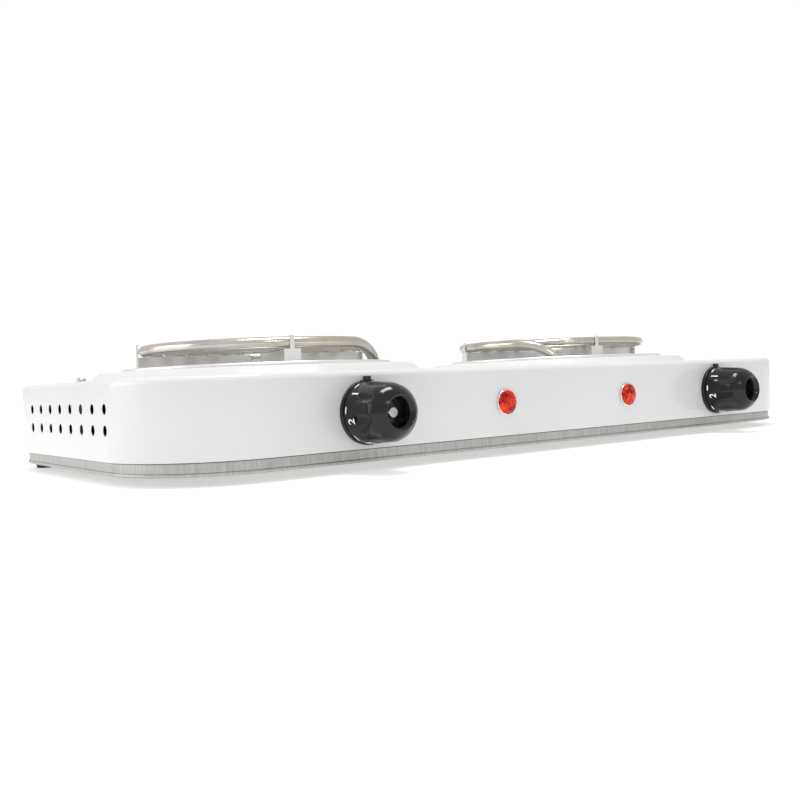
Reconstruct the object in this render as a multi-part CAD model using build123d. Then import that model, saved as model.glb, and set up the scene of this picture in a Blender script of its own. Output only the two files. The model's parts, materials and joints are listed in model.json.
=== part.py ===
"""Double electric hot plate with two spiral tube elements, as separate pieces.

Millimetres. +X runs along the front to the user's right, +Y towards the back, +Z up.
The origin is on the table under the middle of the whole appliance, knobs included.
Depths called "back" are measured from the front face, heights called "up" from the table.
"""

import os
from math import acos, cos, degrees, hypot, radians, sin, sqrt

from build123d import *

os.makedirs("parts", exist_ok=True)

# Driving dimensions: the outside of the appliance.
body_length = 500.0
body_depth = 232.0
corner_radius = 54.0
foot_height = 4.5
strip_height = 6.1
strip_gap = 0.4
shell_height = 37.8
top_roll = 3.3
shell_sheet = 0.8
plinth_height = 4.7
plinth_foot_radius = 97.0
plinth_slope = 5.0
plinth_roll = 3.0

# The two burners.
burner_spacing = 257.0
burner_back = 129.5
bowl_radius = 77.5
bowl_depth = 11.0
bowl_sheet = 0.8
bowl_corner = 2.5
bowl_play = 0.5
rim_bead_radius = 1.0
tube_diameter = 6.5
coil_inside_bowl = 5.75
coil_pitch = 13.0
coil_half_turns = 7
coil_over_rim = 6.65
slope_bend = 35.0
slope_angle = 54.0
slope_lean = 25.0
foot_bend = 12.0
inner_bend = 10.0
coil_start = -74.0
coil_turn = {"left": 0.0, "right": -84.0}
arm_azimuth = {"left": -105.5, "right": -109.5}
arm_count = 4

# The control panel.
knob_spacing = 286.0
knob_up = 28.45
knob_proud = 27.3
knob_skirt_radius = 15.2
knob_nose_radius = 13.4
knob_round = 12.0
flute_count = 9
flute_up = 12.5
flute_depth = 1.2
flute_ring = 17.5
flute_width = 3.2
knob_travel = 270.0
lamp_spacing = 102.0
lamp_up = 29.0
lamp_rim_radius = 6.9

# The base tray, its feet and the pillars that carry the shell.
tray_inset = 1.74
tray_sheet = 0.8
tray_lap = 3.0
hem_proud = 0.6
hem_height = 1.8
foot_radius = 5.5
front_foot = (40.0, 75.0)
rear_foot = (16.0, 27.0)
pillar_radius = 4.0
pillar_side = 37.5
pillar_front = 34.0
pillar_rear = 34.0

# Side vents: two rows of round holes in each end.
vent_radius = 2.45
vent_pitch = 16.1
vent_count = 8
vent_rear_back = 168.6
vent_rows_up = (25.4, 35.3)

# Screws, the earth stud and the cord entry.
m3_radius = 1.5
m3_head_radius = 2.75
m3_head_height = 1.8
top_head_radius = 2.9
top_head_height = 3.9
top_screw_length = 9.0
base_screw_length = 8.0
foot_head_height = 1.3
foot_screw_length = 8.0
foot_well = 1.8
m4_radius = 2.0
m5_radius = 2.5
gland_up = 31.0
gland_bore = 4.0
gland_proud = 4.0
gland_wall = 2.0
gland_flange = 3.5
wire_radius = 1.1
wire_bend = 6.0
short_bend = 4.0

# Clearances.
fit_gap = 0.05
close_gap = 0.1
free_gap = 0.3
hole_gap = 0.2

# Everything below follows from the dimensions above.
overall_depth = knob_proud + body_depth + gland_proud
front_y = knob_proud - overall_depth / 2
middle_y = front_y + body_depth / 2
burner_y = front_y + burner_back
shell_bottom = foot_height + strip_height + strip_gap
top_up = shell_bottom + shell_height
plinth_up = top_up + plinth_height
opening_radius = bowl_radius + bowl_play
rim_up = plinth_up + 2 * rim_bead_radius
bowl_floor = plinth_up - bowl_depth
tube_radius = tube_diameter / 2
coil_radius = bowl_radius - coil_inside_bowl
coil_up = rim_up + coil_over_rim + tube_radius
tray_floor = foot_height + tray_sheet
tray_top = shell_bottom + tray_lap
roof_up = top_up - shell_sheet
sides = {"left": -1, "right": 1}


def rod_y(radius, front, rear, x, up):
    """A round bar along the depth of the appliance."""
    centre = Pos(x, front_y + (front + rear) / 2, up)
    return centre * Rot(90, 0, 0) * Cylinder(radius, rear - front)


def rod_z(radius, low, high, x, y):
    """An upright round bar."""
    return Pos(x, y, (low + high) / 2) * Cylinder(radius, high - low)


def brick(x_range, back_range, up_range):
    """A box from its limits along the three directions."""
    size = [high - low for low, high in (x_range, back_range, up_range)]
    centre = [(low + high) / 2 for low, high in (x_range, back_range, up_range)]
    return Pos(centre[0], front_y + centre[1], centre[2]) * Box(*size)


def slab(inset, low, high):
    """The rounded plan outline of the body, pulled in and given a height."""
    plan = RectangleRounded(
        body_length - 2 * inset, body_depth - 2 * inset, corner_radius - inset
    )
    return Pos(0, middle_y, low) * extrude(plan, high - low)


def save(name, *solids):
    """Writes one node, made of one solid or of a group of separate ones."""
    shape = solids[0] if len(solids) == 1 else Compound(children=list(solids))
    export_step(shape, f"parts/{name}.step")


def burner_place(side, turn=0.0):
    """The upright axis of a burner, with a turn about it."""
    return Pos(sides[side] * burner_spacing / 2, burner_y, 0) * Rot(0, 0, turn)


def polar(radius, azimuth, up=0.0):
    """A point at a radius and an azimuth about a burner's own centre."""
    return Vector(radius * cos(radians(azimuth)), radius * sin(radians(azimuth)), up)


def brick_xy(x_range, width, up_range):
    """A box along +X from the burner's axis."""
    length = x_range[1] - x_range[0]
    height = up_range[1] - up_range[0]
    centre = Pos(sum(x_range) / 2, 0, sum(up_range) / 2)
    return centre * Box(length, width, height)


# --- Enclosure ---------------------------------------------------------------

knob_x = {side: sign * knob_spacing / 2 for side, sign in sides.items()}
lamp_x = {side: sign * lamp_spacing / 2 for side, sign in sides.items()}
lamp_tube_radius = 5.5
spindle_radius = 3.0
panel_screw_offset = 11.0
panel_screw = (1.0, 4.3)
pillar_tapping = 10.0
slot_length = 60.0
slot_width = 4.0
slot_pitch = 14.0
slots_each_way = 2
foot_points = [
    (sign * (body_length / 2 - side), front_y + back)
    for sign in (-1, 1)
    for side, back in (front_foot, (rear_foot[0], body_depth - rear_foot[1]))
]
pillar_points = [
    (sign * (body_length / 2 - pillar_side), front_y + back)
    for sign in (-1, 1)
    for back in (pillar_front, body_depth - pillar_rear)
]
rear_pillar_points = [point for point in pillar_points if point[1] > 0]


def plinth(shrink):
    """The raised round step under a burner, or its inside when shrunk by the sheet."""
    height = plinth_height + 1.0
    slope = plinth_slope * height / plinth_height
    foot = plinth_foot_radius - plinth_slope + slope - shrink
    cone = Cone(foot, foot - slope, height, align=(Align.CENTER, Align.CENTER, Align.MIN))
    cone = fillet(cone.edges().sort_by(Axis.Z)[-1], plinth_roll - shrink)
    return Pos(0, 0, top_up - 1.0 - shrink) * cone


def top_shell():
    """Pressed and enamelled body: front, sides, back and top with two raised plinths."""
    outer = slab(0, shell_bottom, top_up)
    outer = fillet(outer.edges().group_by(Axis.Z)[-1], top_roll)
    inner = slab(shell_sheet, shell_bottom - 1.0, roof_up)
    inner = fillet(inner.edges().group_by(Axis.Z)[-1], top_roll - shell_sheet)
    for sign in sides.values():
        centre = Pos(sign * burner_spacing / 2, burner_y, 0)
        outer += centre * plinth(0)
        inner += centre * plinth(shell_sheet)
    shell = outer - inner
    for side, sign in sides.items():
        x = sign * burner_spacing / 2
        shell -= rod_z(opening_radius, bowl_floor, rim_up, x, burner_y)
        shell -= rod_y(spindle_radius + 1.0, -1.0, 2.0, knob_x[side], knob_up)
        shell -= rod_y(lamp_tube_radius + hole_gap, -1.0, 2.0, lamp_x[side], lamp_up)
        for offset in (-panel_screw_offset, panel_screw_offset):
            shell -= rod_y(m3_radius + hole_gap, -1.0, 2.0, knob_x[side] + offset, knob_up)
    for x, y in rear_pillar_points:
        shell -= rod_z(m3_radius + hole_gap, roof_up - 1.0, top_up + 1.0, x, y)
    for row_up in vent_rows_up:
        for number in range(vent_count):
            y = front_y + vent_rear_back - number * vent_pitch
            through = Rot(0, 90, 0) * Cylinder(vent_radius, body_length + 2.0)
            shell -= Pos(0, y, row_up) * through
    gland_hole = gland_bore + gland_wall + hole_gap
    shell -= rod_y(gland_hole, body_depth - 2.0, body_depth + 1.0, 0, gland_up)
    return shell


earth_back = 150.0
earth_nut_radius = 3.5
earth_nut_height = 3.0
earth_ring_radius = 4.8
earth_ring_sheet = 1.0
block_back = (188.0, 204.0)
block_half = 30.0
block_screw_x = (-18.0, 18.0)


def base_tray():
    """Galvanised tray: floor with cooling slots, upstanding wall and a proud hem."""
    tray = slab(tray_inset, foot_height, tray_top)
    tray = tray - slab(tray_inset + tray_sheet, tray_floor, tray_top + 1.0)
    hem = slab(tray_inset - hem_proud, foot_height, foot_height + hem_height)
    tray += hem - slab(tray_inset, foot_height - 1.0, foot_height + hem_height + 1.0)
    for sign in sides.values():
        for number in range(-slots_each_way, slots_each_way + 1):
            slot = SlotOverall(slot_length, slot_width)
            place = Pos(sign * burner_spacing / 2, burner_y + number * slot_pitch, foot_height - 1.0)
            tray -= place * extrude(slot, tray_sheet + 2.0)
    for x, y in foot_points + pillar_points:
        tray -= rod_z(m3_radius + hole_gap, foot_height - 1.0, tray_floor + 1.0, x, y)
    tray -= rod_z(m4_radius + fit_gap, 0, tray_floor + 1.0, 0, front_y + earth_back)
    for x in block_screw_x:
        y = front_y + sum(block_back) / 2
        tray -= rod_z(m3_radius + hole_gap, 0, tray_floor + 1.0, x, y)
    return tray


def pan_screw(radius, head_radius, head_height, length):
    """A pan head screw standing on its tip at the origin, head up."""
    head = Cylinder(head_radius, head_height, align=(Align.CENTER, Align.CENTER, Align.MIN))
    head = fillet(head.edges().sort_by(Axis.Z)[-1], head_height * 0.45)
    slot = Pos(0, 0, head_height) * Box(2 * head_radius, 0.8, head_height * 0.8)
    shank = Cylinder(radius, length, align=(Align.CENTER, Align.CENTER, Align.MAX))
    return head - slot + shank


def rubber_feet():
    """Four tapered rubber feet, each with a well for its screw head."""
    feet = []
    for x, y in foot_points:
        foot = Cone(foot_radius - 1.0, foot_radius, foot_height)
        foot = Pos(x, y, foot_height / 2) * foot
        foot -= rod_z(m3_head_radius + free_gap, -1.0, foot_well, x, y)
        foot -= rod_z(m3_radius + fit_gap, 0, foot_height + 1.0, x, y)
        feet.append(foot)
    return feet


def foot_screws():
    """The screws that hold the feet, driven up into the tray."""
    screw = pan_screw(m3_radius, m3_head_radius, foot_head_height, foot_screw_length)
    return [Pos(x, y, foot_well) * Rot(180, 0, 0) * screw for x, y in foot_points]


def corner_pillars():
    """Four posts between the tray and the shell's roof, tapped at both ends."""
    posts = []
    for x, y in pillar_points:
        post = rod_z(pillar_radius, tray_floor, roof_up - close_gap, x, y)
        post -= rod_z(m3_radius + fit_gap, 0, tray_floor + pillar_tapping, x, y)
        if (x, y) in rear_pillar_points:
            post -= rod_z(m3_radius + fit_gap, roof_up - pillar_tapping, top_up, x, y)
        posts.append(post)
    return posts


def base_screws():
    """The screws under the tray that hold the pillars."""
    screw = pan_screw(m3_radius, m3_head_radius, m3_head_height, base_screw_length)
    return [Pos(x, y, foot_height) * Rot(180, 0, 0) * screw for x, y in pillar_points]


def top_screws():
    """The two tall-headed screws on the rear corners of the top."""
    screw = pan_screw(m3_radius, top_head_radius, top_head_height, top_screw_length)
    return [Pos(x, y, top_up) * screw for x, y in rear_pillar_points]


# --- Burners -----------------------------------------------------------------

coil_first_radius = coil_radius - coil_pitch / 4
hub_radius = 6.0
hub_top = coil_up - tube_radius - 3.0
leg_end_up = 32.0
pin_end_up = 22.0
strap_azimuth = 115.0
strap_up = (36.0, 37.5)
strap_reach = bowl_radius + 3.5
strap_width = 14.0
strap_foot = 6.0
collar_wall = 1.7
collar_height = 3.0
pin_radius = 1.2
bead_length = 4.0
blade = 1.2
blade_height = 6.0
foot_length = 6.0
flange = 0.8
flange_width = 9.0
flange_clear = 1.0
tab_width = 2.4
tab_over = 0.5
hub_wall = 1.0
centre_head_height = 2.6
nut_across = 8.0
nut_height = 4.0


def coil_centre(half_turn):
    """The coil is made of half circles whose centres alternate about the middle."""
    shift = coil_pitch / 4 * (1 if half_turn % 2 == 0 else -1)
    return polar(shift, coil_start, coil_up)


def coil_point(angle):
    """The point on the tube's centre line after turning by an angle from its start."""
    half_turn = min(int(angle // 180), coil_half_turns - 1)
    radius = coil_first_radius - half_turn * coil_pitch / 2
    return coil_centre(half_turn) + polar(radius, coil_start - angle)


def heading(angle):
    """The direction the tube runs in after turning by an angle, seen as a unit vector."""
    return Vector(sin(radians(coil_start - angle)), -cos(radians(coil_start - angle)), 0)


coil_angle = 180.0 * coil_half_turns
down = Vector(0, 0, -1)


def bend_points(start, direction, towards, radius, angle):
    """Start, middle and end of an arc that leaves along a direction and turns towards another."""
    side = (towards - direction * direction.dot(towards)).normalized()
    points = []
    for share in (0.0, 0.5, 1.0):
        turned = radians(angle * share)
        points.append(start + direction * radius * sin(turned) + side * radius * (1 - cos(turned)))
    return points


# The outer end slopes down and inwards in a wide arc, then turns upright. The inner end turns down.
slope_towards = down * cos(radians(slope_lean)) - polar(sin(radians(slope_lean)), coil_start)
slope_points = bend_points(
    coil_point(0), heading(0) * -1, slope_towards, slope_bend, slope_angle
)
slope_heading = heading(0) * -cos(radians(slope_angle)) + slope_towards * sin(radians(slope_angle))
upright_angle = degrees(acos(slope_heading.dot(down)))
outer_points = bend_points(slope_points[-1], slope_heading, down, foot_bend, upright_angle)
inner_points = bend_points(
    coil_point(coil_angle), heading(coil_angle), down, inner_bend, 90.0
)
outer_leg = outer_points[-1]
inner_leg = inner_points[-1]


def heating_element():
    """Steel-sheathed tube: a flat spiral whose two ends turn down through the bowl."""
    outer_foot = Vector(outer_leg.X, outer_leg.Y, leg_end_up)
    inner_foot = Vector(inner_leg.X, inner_leg.Y, leg_end_up)
    edges = [
        Line(outer_foot, outer_leg),
        ThreePointArc(*reversed(outer_points)),
        ThreePointArc(*reversed(slope_points)),
    ]
    for number in range(coil_half_turns):
        start = 180.0 * number
        ends = coil_point(start), coil_point(start + 90), coil_point(start + 180 - 1e-9)
        edges.append(ThreePointArc(*ends))
    edges.append(ThreePointArc(*inner_points))
    edges.append(Line(inner_leg, inner_foot))
    path = Wire(edges)
    section = Plane(origin=path @ 0, z_dir=path % 0) * Circle(tube_radius)
    tube = sweep(section, path=path)
    collar_top = bowl_floor - bowl_sheet - close_gap
    for leg in (outer_leg, inner_leg):
        collar_low = collar_top - collar_height
        tube += rod_z(tube_radius + collar_wall, collar_low, collar_top, leg.X, leg.Y)
    return tube


def element_pins():
    """The two cold terminal pins below the sheath."""
    pins = []
    for leg in (outer_leg, inner_leg):
        pins.append(rod_z(pin_radius, pin_end_up, leg_end_up - fit_gap, leg.X, leg.Y))
    return pins


def element_insulators():
    """Ceramic beads that seal the sheath's ends around the pins."""
    beads = []
    for leg in (outer_leg, inner_leg):
        low = leg_end_up - bead_length
        bead = rod_z(tube_radius - 0.4, low, leg_end_up - fit_gap, leg.X, leg.Y)
        beads.append(bead - rod_z(pin_radius + fit_gap, 0, leg_end_up + 1.0, leg.X, leg.Y))
    return beads


def drip_bowl():
    """Pressed bowl under the coil, hung in the shell by its rolled rim."""
    low = bowl_floor - bowl_sheet
    wall_top = plinth_up + rim_bead_radius
    bowl = rod_z(bowl_radius, low, wall_top, 0, 0)
    bowl = fillet(bowl.edges().sort_by(Axis.Z)[0], bowl_corner)
    hollow = rod_z(bowl_radius - bowl_sheet, bowl_floor, wall_top + 1.0, 0, 0)
    hollow = fillet(hollow.edges().sort_by(Axis.Z)[0], bowl_corner - bowl_sheet)
    bead = Torus(bowl_radius + rim_bead_radius - 0.4, rim_bead_radius)
    bowl = bowl - hollow + Pos(0, 0, wall_top) * bead
    bowl -= rod_z(m5_radius + hole_gap, 0, bowl_floor + 1.0, 0, 0)
    for leg in (outer_leg, inner_leg):
        bowl -= rod_z(tube_radius + hole_gap, 0, bowl_floor + bowl_corner, leg.X, leg.Y)
    return bowl


def element_support(side):
    """Four upright blades on a hub; each ends in a flange with a tab outside the tube."""
    top = coil_up - tube_radius - close_gap
    tab_top = coil_up + tube_radius + close_gap + tab_over
    support = rod_z(hub_radius, bowl_floor, hub_top, 0, 0)
    for number in range(arm_count):
        azimuth = arm_azimuth[side] + number * 360.0 / arm_count
        turned = (coil_start + coil_turn[side] - azimuth) % 360
        under = coil_point(turned)
        inside = hypot(under.X, under.Y) + tube_radius + close_gap
        end = inside + flange
        arm = brick_xy((0, end), blade, (top - blade_height, top))
        arm += brick_xy((inside - foot_length, inside), blade, (bowl_floor, top))
        arm += brick_xy((inside, end), flange_width, (bowl_floor + flange_clear, top))
        arm += brick_xy((inside, end), tab_width, (top - 1.0, tab_top))
        arm += brick_xy((end - 2 * flange, end), tab_width, (tab_top - tab_over, tab_top))
        support += Rot(0, 0, azimuth) * arm
    support -= rod_z(hub_radius - hub_wall, hub_top, coil_up + tube_diameter, 0, 0)
    support -= rod_z(m5_radius + hole_gap, 0, coil_up, 0, 0)
    return support


def clamp_strap():
    """Bridge under the bowl that bears on the underside of the plinth."""
    thick = strap_up[1] - strap_up[0]
    top = plinth_up - shell_sheet - close_gap
    strap = brick_xy((-strap_reach - thick, strap_reach + thick), strap_width, strap_up)
    for sign in (-1, 1):
        ends = sorted((sign * strap_reach, sign * (strap_reach + thick)))
        foot = sorted((sign * strap_reach, sign * (strap_reach + strap_foot)))
        strap += brick_xy(ends, strap_width, (strap_up[0], top))
        strap += brick_xy(foot, strap_width, (top - thick, top))
    strap -= rod_z(m5_radius + hole_gap, 0, strap_up[1] + 1.0, 0, 0)
    return Rot(0, 0, strap_azimuth) * strap


def support_screws():
    """The centre screws that pull each support, bowl and strap together."""
    length = hub_top - strap_up[0] + 2 * nut_height
    head_radius = hub_radius - hub_wall - free_gap - hole_gap
    screw = pan_screw(m5_radius, head_radius, centre_head_height, length)
    return [
        Pos(sign * burner_spacing / 2, burner_y, hub_top) * screw for sign in sides.values()
    ]


def strap_nuts():
    """Hexagon nuts under the straps."""
    nuts = []
    for sign in sides.values():
        nut = extrude(RegularPolygon(nut_across / 2, 6, major_radius=False), nut_height)
        nut -= Cylinder(m5_radius + fit_gap, 20.0)
        low = strap_up[0] - nut_height - close_gap
        place = Pos(sign * burner_spacing / 2, burner_y, low)
        nuts.append(place * nut)
    return nuts


# --- Knobs and regulators ----------------------------------------------------

bezel_radius = 15.7
bezel_front = -2.0
pointer_width = 3.2
pointer_height = 1.6
knob_rear = bezel_front - free_gap
recess_radius = 6.4
recess_floor = -19.5
dish_radius = 8.3
dish_depth = 2.6
skirt_edge = 0.8
skirt_wall = 2.2
hollow_depth = 6.0
boss_low = 1.5
boss_wall = 3.2
knob_screw_length = 8.0
spindle_front = -16.8
journal_radius = 2.0
journal_length = 1.5
spindle_tapping = 7.5
bezel_wall = 1.6
bezel_hollow = 1.2
bezel_edge = 0.6
flat_offset = 1.8
plate_back = (shell_sheet + close_gap, shell_sheet + close_gap + 1.5)
case_back = (plate_back[1] + close_gap, 26.0)
case_wall = 2.5
case_rear_wall = 3.0
case_x = (-15.0, 25.0)
case_half_height = 14.0
cam_radius = 9.5
cam_drop = 1.5
cam_back = (6.0, 10.0)
pusher_radius = 1.5
pusher_length = 6.0
arm_sheet = 1.0
arm_below_pivot = 8.0
arm_face_x = cam_radius + free_gap + pusher_length + free_gap
pivot_x = arm_face_x + arm_sheet / 2
pivot_up = arm_below_pivot
pivot_radius = 1.0
arm_tip = -9.5
pivot_eye_radius = 2.0
contact_radius = 1.2
moving_contact_height = 0.8
fixed_contact_height = 0.5
guide_x = (11.2, 13.2)
guide_half_height = 3.0
cam_hub_radius = 5.0
cam_hub_length = 2.0
cam_spare = 12.0
cam_steps = 14
terminal_up = 11.3
spade_sheet = 0.8
spade_width = 6.3
spade_end = 34.0
fixed_x = 10.3
feed_x = 18.8
feed_back = (12.0, 12.0 + spade_sheet)


def regulator_brick(x_range, back_range, up_range):
    """A box placed from the spindle's axis, before it is moved to its side."""
    ups = (knob_up + up_range[0], knob_up + up_range[1])
    return brick(x_range, back_range, ups)


def regulator_rod(radius, front, rear, x, up):
    """A round bar along the depth, placed from the spindle's axis."""
    return rod_y(radius, front, rear, x, knob_up + up)


def pusher_place(x):
    """A frame at a distance from the spindle's axis, with +Z pointing to +X."""
    middle = sum(cam_back) / 2
    return Pos(x, front_y + middle, knob_up) * Rot(0, 90, 0)


def knob_crest_drop(crest):
    """How far the rounded nose has fallen where the dish cuts it, for a tapered knob."""
    drop = 0.0
    for _ in range(5):
        taper = (knob_skirt_radius - knob_nose_radius) / (crest + drop)
        reach = knob_nose_radius + taper * knob_round - knob_round * hypot(1, taper)
        drop = knob_round - sqrt(knob_round**2 - (dish_radius - reach) ** 2)
    return drop


def knob():
    """Moulded knob: rounded nose with a blind recess, nine flutes and a D bore."""
    crest = knob_proud + knob_rear
    length = crest + knob_crest_drop(crest)
    body = Cone(
        knob_skirt_radius, knob_nose_radius, length, align=(Align.CENTER, Align.CENTER, Align.MIN)
    )
    body = fillet(body.edges().sort_by(Axis.Z)[-1], knob_round)
    body = fillet(body.edges().sort_by(Axis.Z)[0], skirt_edge)
    dish = Cone(recess_radius, dish_radius, dish_depth, align=(Align.CENTER, Align.CENTER, Align.MAX))
    dish += Cylinder(dish_radius, knob_round, align=(Align.CENTER, Align.CENTER, Align.MIN))
    body -= Pos(0, 0, crest) * dish
    recess_depth = knob_proud + recess_floor
    body -= Pos(0, 0, crest - recess_depth / 2 + 1.0) * Cylinder(recess_radius, recess_depth + 2.0)
    body -= Pos(0, 0, hollow_depth / 2) * Cylinder(knob_skirt_radius - skirt_wall, hollow_depth)
    boss_high = hollow_depth + 1.0
    boss = Cylinder(spindle_radius + boss_wall, boss_high - boss_low)
    body += Pos(0, 0, (boss_low + boss_high) / 2) * boss
    bore_depth = knob_rear - spindle_front + close_gap
    bore = d_section(spindle_radius + fit_gap, flat_offset + fit_gap, bore_depth)
    body -= bore
    body -= Cylinder(m3_radius + hole_gap, 4 * length)
    skin = knob_skirt_radius - (knob_skirt_radius - knob_nose_radius) * flute_up / length
    reach = skin - flute_depth + flute_ring + flute_width
    flute = Pos(reach, 0, flute_up) * Rot(90, 0, 0) * Torus(flute_ring, flute_width)
    for number in range(flute_count):
        body -= Rot(0, 0, 360.0 / flute_count * (number + 0.5)) * flute
    return body


def d_section(radius, flat, length):
    """A bar with one flat, standing on the origin."""
    bar = Cylinder(radius, length, align=(Align.CENTER, Align.CENTER, Align.MIN))
    cut = Pos(0, -flat - radius, length / 2) * Box(4 * radius, 2 * radius, 2 * length)
    return bar - cut


def facing_front(side, back):
    """A frame on a knob's axis whose own +Z points out of the panel."""
    return Pos(knob_x[side], front_y + back, knob_up) * Rot(90, 0, 0)


def knob_screw():
    """The screw at the bottom of the knob's recess."""
    return pan_screw(m3_radius, m3_head_radius, m3_head_height, knob_screw_length)


def spindle():
    """Regulator shaft: a flat for the knob, a journal at the rear, a tapped nose."""
    length = case_back[1] - case_rear_wall - close_gap - spindle_front
    shaft = Cylinder(spindle_radius, length, align=(Align.CENTER, Align.CENTER, Align.MAX))
    whole = length + journal_length
    journal = Cylinder(journal_radius, whole, align=(Align.CENTER, Align.CENTER, Align.MAX))
    shaft += journal
    flat_length = knob_rear - spindle_front + 1.0
    cut = Pos(0, -flat_offset - spindle_radius, -flat_length / 2)
    shaft -= cut * Box(4 * spindle_radius, 2 * spindle_radius, flat_length)
    shaft -= Cylinder(m3_radius + fit_gap, 2 * spindle_tapping)
    return shaft


def bezel():
    """Black disc behind the knob, hollow at the back, with a pointer at the top."""
    depth = -bezel_front
    disc = Cylinder(bezel_radius, depth, align=(Align.CENTER, Align.CENTER, Align.MIN))
    disc = fillet(disc.edges().sort_by(Axis.Z)[-1], bezel_edge)
    disc += Pos(0, bezel_radius, depth / 2) * Box(pointer_width, 2 * pointer_height, depth)
    disc -= Cylinder(bezel_radius - bezel_wall, 2 * bezel_hollow)
    disc -= Cylinder(spindle_radius + free_gap, 4 * depth)
    return Pos(0, 0, close_gap) * disc


def regulator_plate():
    """Steel plate that screws to the panel and closes the regulator's case."""
    plate = regulator_brick(case_x, plate_back, (-13.3, 13.3))
    plate -= regulator_rod(spindle_radius + fit_gap, -1.0, 5.0, 0, 0)
    for x in (-panel_screw_offset, panel_screw_offset):
        plate -= regulator_rod(m3_radius + fit_gap, -1.0, 5.0, x, 0)
    return plate


def regulator_case():
    """Moulded case with the cam chamber, pusher guide and terminal slots."""
    height = (-case_half_height, case_half_height)
    case = regulator_brick(case_x, case_back, height)
    inside_x = (case_x[0] + case_wall, case_x[1] - case_wall)
    inside_up = (height[0] + case_wall, height[1] - case_wall)
    floor = case_back[1] - case_rear_wall
    case -= regulator_brick(inside_x, (case_back[0] - 1.0, floor), inside_up)
    case += regulator_brick(guide_x, (5.0, floor + 1.0), (-guide_half_height, guide_half_height))
    guide = Cylinder(pusher_radius + fit_gap, 6.0)
    case -= pusher_place(sum(guide_x) / 2) * guide
    case -= regulator_rod(journal_radius + fit_gap, floor - 1.0, floor + 2.0, 0, 0)
    case -= regulator_rod(pivot_radius + fit_gap, floor - 1.0, floor + 2.0, pivot_x, pivot_up)
    for x, low in ((fixed_x, -terminal_up), (feed_x, terminal_up - spade_width)):
        slot_x = (x - close_gap, x + spade_sheet + close_gap)
        slot_up = (low - close_gap, low + spade_width + close_gap)
        case -= regulator_brick(slot_x, (floor - 1.0, case_back[1] + 1.0), slot_up)
    return case


def cam():
    """Disc cam whose edge falls evenly with the angle over the knob's travel."""
    start, finish = -cam_spare, knob_travel + cam_spare

    def edge_radius(angle):
        share = min(max(angle / knob_travel, 0.0), 1.0)
        return cam_radius - cam_drop * share

    step = (finish - start) / cam_steps
    angles = [start + step * number for number in range(cam_steps + 1)]
    points = []
    for angle in angles:
        radius = edge_radius(angle)
        points.append((radius * cos(radians(angle)), radius * sin(radians(angle))))
    edge = Spline(*points)
    closing = Line(points[-1], points[0])
    disc = extrude(make_face([edge, closing]), cam_back[1] - cam_back[0])
    disc += Cylinder(cam_hub_radius, cam_hub_length, align=(Align.CENTER, Align.CENTER, Align.MAX))
    return disc - Cylinder(spindle_radius + fit_gap / 2, 40.0)


def pusher():
    """Round-ended pin between the cam and the contact arm."""
    start = cam_radius + free_gap
    straight = pusher_length - 2 * pusher_radius
    pin = Cylinder(pusher_radius, straight)
    for sign in (-1, 1):
        pin += Pos(0, 0, sign * straight / 2) * Sphere(pusher_radius)
    return pusher_place(start + pusher_length / 2) * pin


def contact_arm():
    """Sprung contact arm, hung from its pivot, with a contact button at its tip."""
    arm_x = (arm_face_x, arm_face_x + arm_sheet)
    arm = regulator_brick(arm_x, cam_back, (arm_tip - 1.5, pivot_up))
    arm += regulator_rod(pivot_eye_radius, *cam_back, pivot_x, pivot_up)
    arm -= regulator_rod(pivot_radius + fit_gap, 0, 20.0, pivot_x, pivot_up)
    contact_place = (Align.CENTER, Align.CENTER, Align.MAX)
    button = Cylinder(contact_radius, moving_contact_height, align=contact_place)
    return arm + pusher_place(arm_face_x) * Pos(-arm_tip, 0, 0) * button


def arm_pivot():
    """Pin on which the contact arm swings."""
    rear = case_back[1] - case_rear_wall + 1.0
    return regulator_rod(pivot_radius, case_back[0] + close_gap, rear, pivot_x, pivot_up)


def regulator_terminals():
    """The fixed contact and the feed blade, each ending in a spade behind the case."""
    spade_ups = (-terminal_up, spade_width - terminal_up)
    fixed = regulator_brick((fixed_x, fixed_x + spade_sheet), (cam_back[0], spade_end), spade_ups)
    contact_place = (Align.CENTER, Align.CENTER, Align.MIN)
    button = Cylinder(contact_radius, fixed_contact_height, align=contact_place)
    fixed += pusher_place(fixed_x + spade_sheet) * Pos(-arm_tip, 0, 0) * button
    low = terminal_up - spade_width
    start = feed_back[0]
    feed = regulator_brick((feed_x, feed_x + spade_sheet), (start, spade_end), (low, terminal_up))
    bridge_x = (pivot_x - pivot_eye_radius, feed_x + spade_sheet)
    feed += regulator_brick(bridge_x, feed_back, (low, terminal_up))
    feed -= regulator_rod(pivot_radius + fit_gap / 2, 0, 20.0, pivot_x, pivot_up)
    return fixed, feed


def panel_screws():
    """Two thin-headed screws behind each bezel that hold the regulator to the panel."""
    screws = []
    for side in sides:
        for offset in (-panel_screw_offset, panel_screw_offset):
            place = Pos(knob_x[side] + offset, front_y, knob_up) * Rot(90, 0, 0)
            screws.append(place * pan_screw(m3_radius, m3_head_radius, *panel_screw))
    return screws


# --- Pilot lamps -------------------------------------------------------------

lamp_bore = 4.6
lamp_rear = 20.0
lamp_rim_proud = 1.2
lens_stem = 3.0
lens_proud = 1.8
lens_round = 1.2
bulb_radius = 2.8
bulb_back = (4.0, 15.0)
bulb_round = 2.4
clip_wall = 2.5
clip_sheet = 1.2


def lamp_place(side, back):
    """A frame on a lamp's axis whose own +Z points out of the panel."""
    return Pos(lamp_x[side], front_y + back, lamp_up) * Rot(90, 0, 0)


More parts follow.
